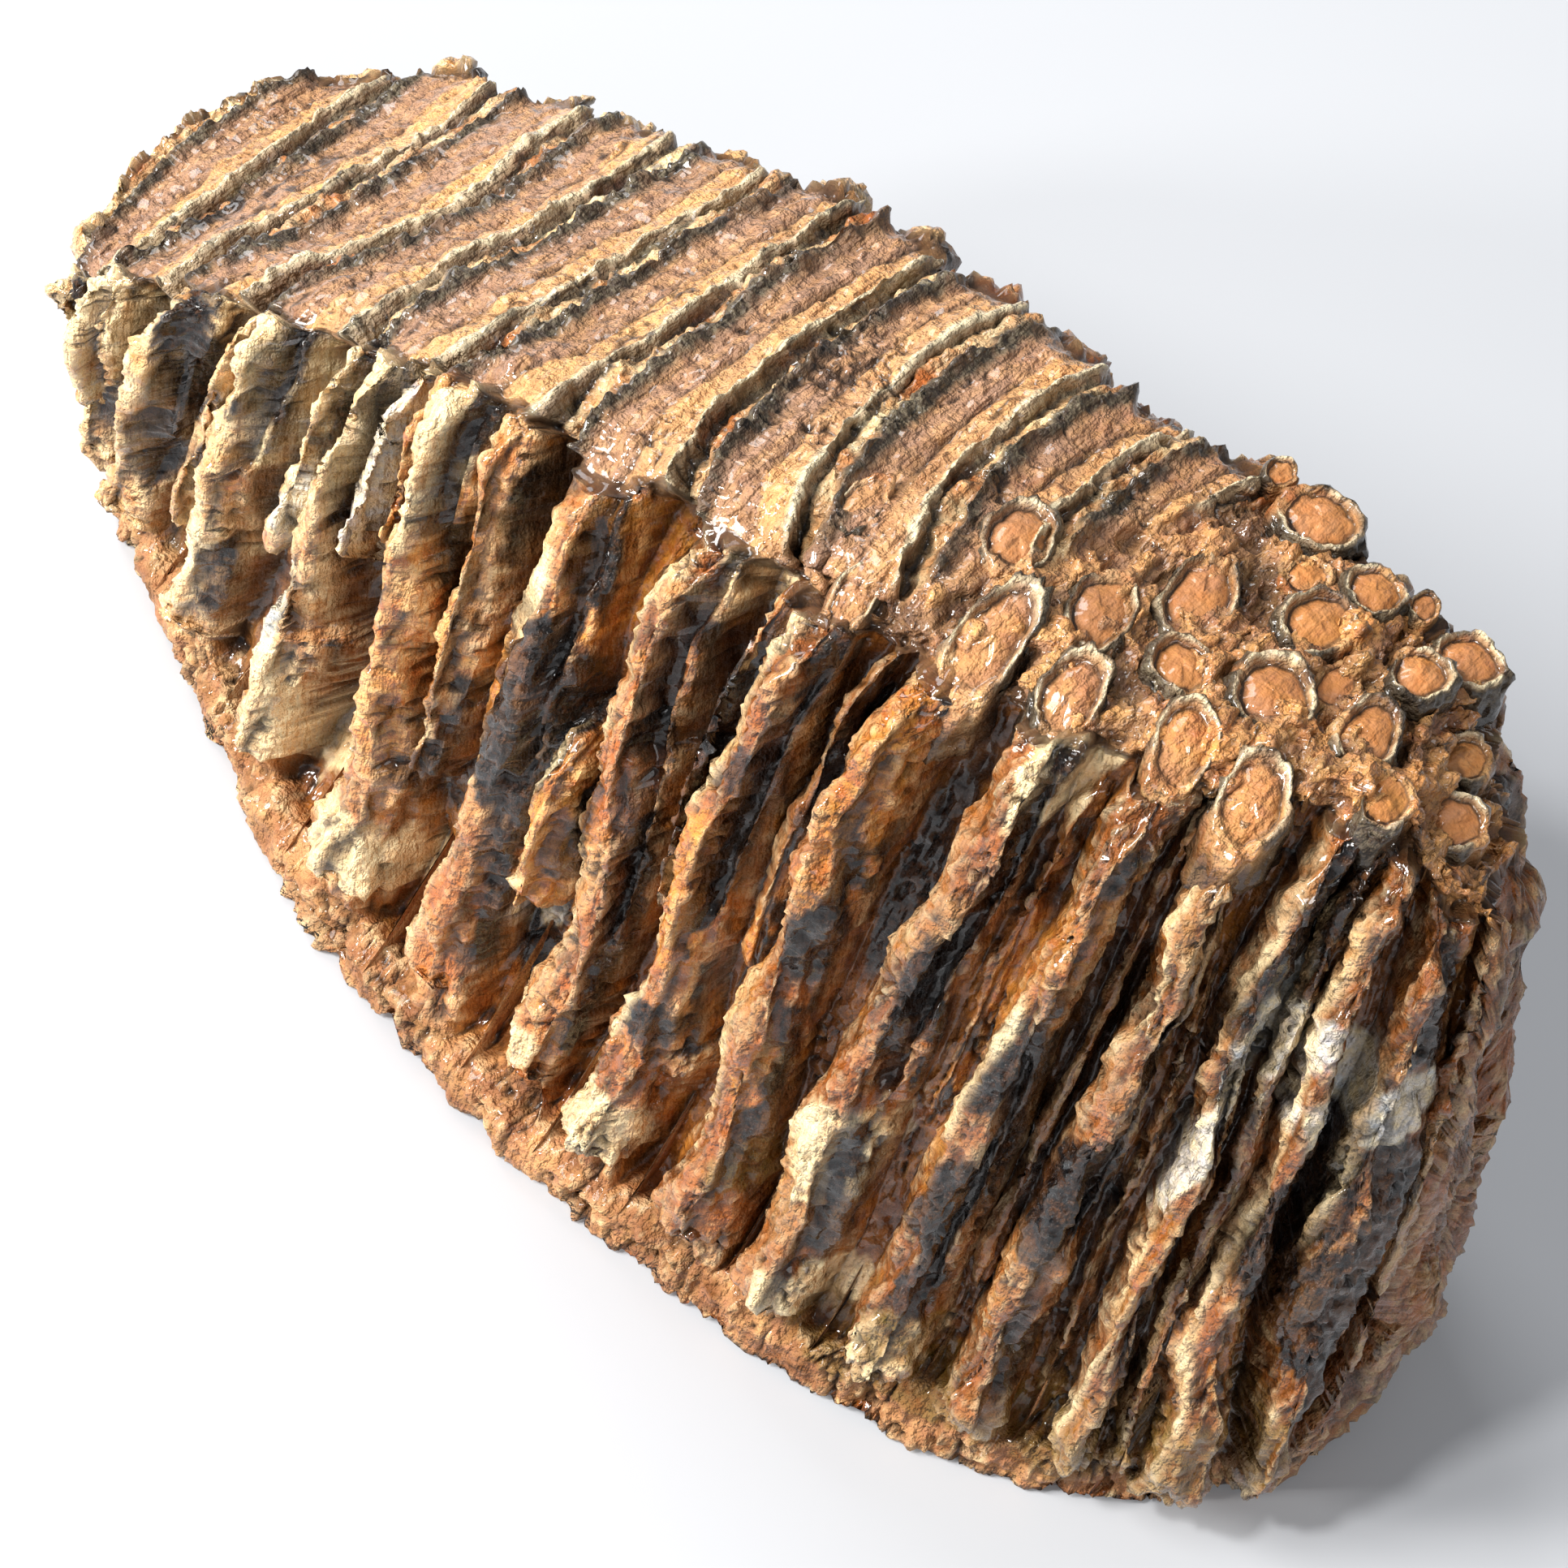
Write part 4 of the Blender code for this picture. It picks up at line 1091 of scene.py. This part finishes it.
# Painted shade in the hollows, slots and ring grooves.
tone = mix(painted_hollow_shade_m * 0.75, tone, DARK)
fossil.put(fossil.shader.inputs["Base Color"], tone)
matt = 0.34 + 0.25 * mottle + 0.12 * gap_m + 0.20 * band_m - 0.12 * black_m
fossil.put(fossil.shader.inputs["Roughness"], matt)
fossil.put(fossil.shader.inputs["Coat Weight"], (1.0 - 0.6 * mottle) * (1 - 0.7 * band_m))
fossil.put(fossil.shader.inputs["Coat Roughness"], 0.09)
fossil.put(fossil.shader.inputs["Specular IOR Level"], 0.15)
rise = 1.2 * fossil.noise(place, 800, 3, 0.62) + 0.9 * fossil.noise(grain_at, 1100, 2.5, 0.6)
rise = rise * (1 - 0.65 * core_m) * (1 - 0.35 * slot_m)
bump = fossil.node("ShaderNodeBump", None, {"Strength": 1.0, "Distance": 0.0011, "Height": rise})
fossil.put(fossil.shader.inputs["Normal"], bump)
print("nodes in the material:", len(fossil.tree.nodes))

# %% Put the finish on
for piece in plates + rings:
    piece.data.materials.clear()
    piece.data.materials.append(fossil.material)
    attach(piece, "root")
    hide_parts("mammoth_tooth")
paper = Finish("pale_floor")
paper.put(paper.shader.inputs["Base Color"], (0.50, 0.51, 0.53, 1))
paper.put(paper.shader.inputs["Roughness"], 0.7)
floor.data.materials.append(paper.material)
print("pieces dressed:", len(plates) + len(rings))

# %% [markdown]
# ## Light
#
# The photograph has soft daylight from the upper left, so a broad window lamp stands
# there, with a weaker one on each side. Two small lamps, one low in front of the side and
# one near the camera, give the varnish its sparkle.

# %% Lamps
def lamp(name, place, aim, size, power, tint=(1, 1, 1)):
    data = bpy.data.lights.new(name, "AREA")
    data.shape = "DISK"
    data.size, data.energy, data.color = size, power, tint
    light = bpy.data.objects.new(name, data)
    light.location = place
    light.rotation_mode = "QUATERNION"
    light.rotation_quaternion = (Vector(aim) - Vector(place)).to_track_quat("-Z", "Y")
    bpy.context.scene.collection.objects.link(light)
    return light


AIM = (0, 0, 0.05)
lamp("window", (-1.0, -1.0, 1.1), AIM, 0.7, 39, (1.0, 0.99, 0.97))
lamp("side", (-1.3, 0.4, 1.2), AIM, 0.8, 14, (0.97, 0.98, 1.0))
lamp("front", (-0.62, -0.80, 0.30), AIM, 0.14, 8, (1.0, 0.99, 0.97))
lamp("right", (1.2, -0.8, 1.2), AIM, 0.9, 7, (0.97, 0.98, 1.0))
lamp("sparkle", (-0.2, -0.42, 0.75), AIM, 0.08, 3.5)
world = bpy.data.worlds.new("studio")
world.use_nodes = True
world.node_tree.nodes["Background"].inputs[0].default_value = (0.93, 0.96, 1.0, 1)
world.node_tree.nodes["Background"].inputs[1].default_value = 0.33
bpy.context.scene.world = world
bpy.context.scene.view_settings.view_transform = "Standard"
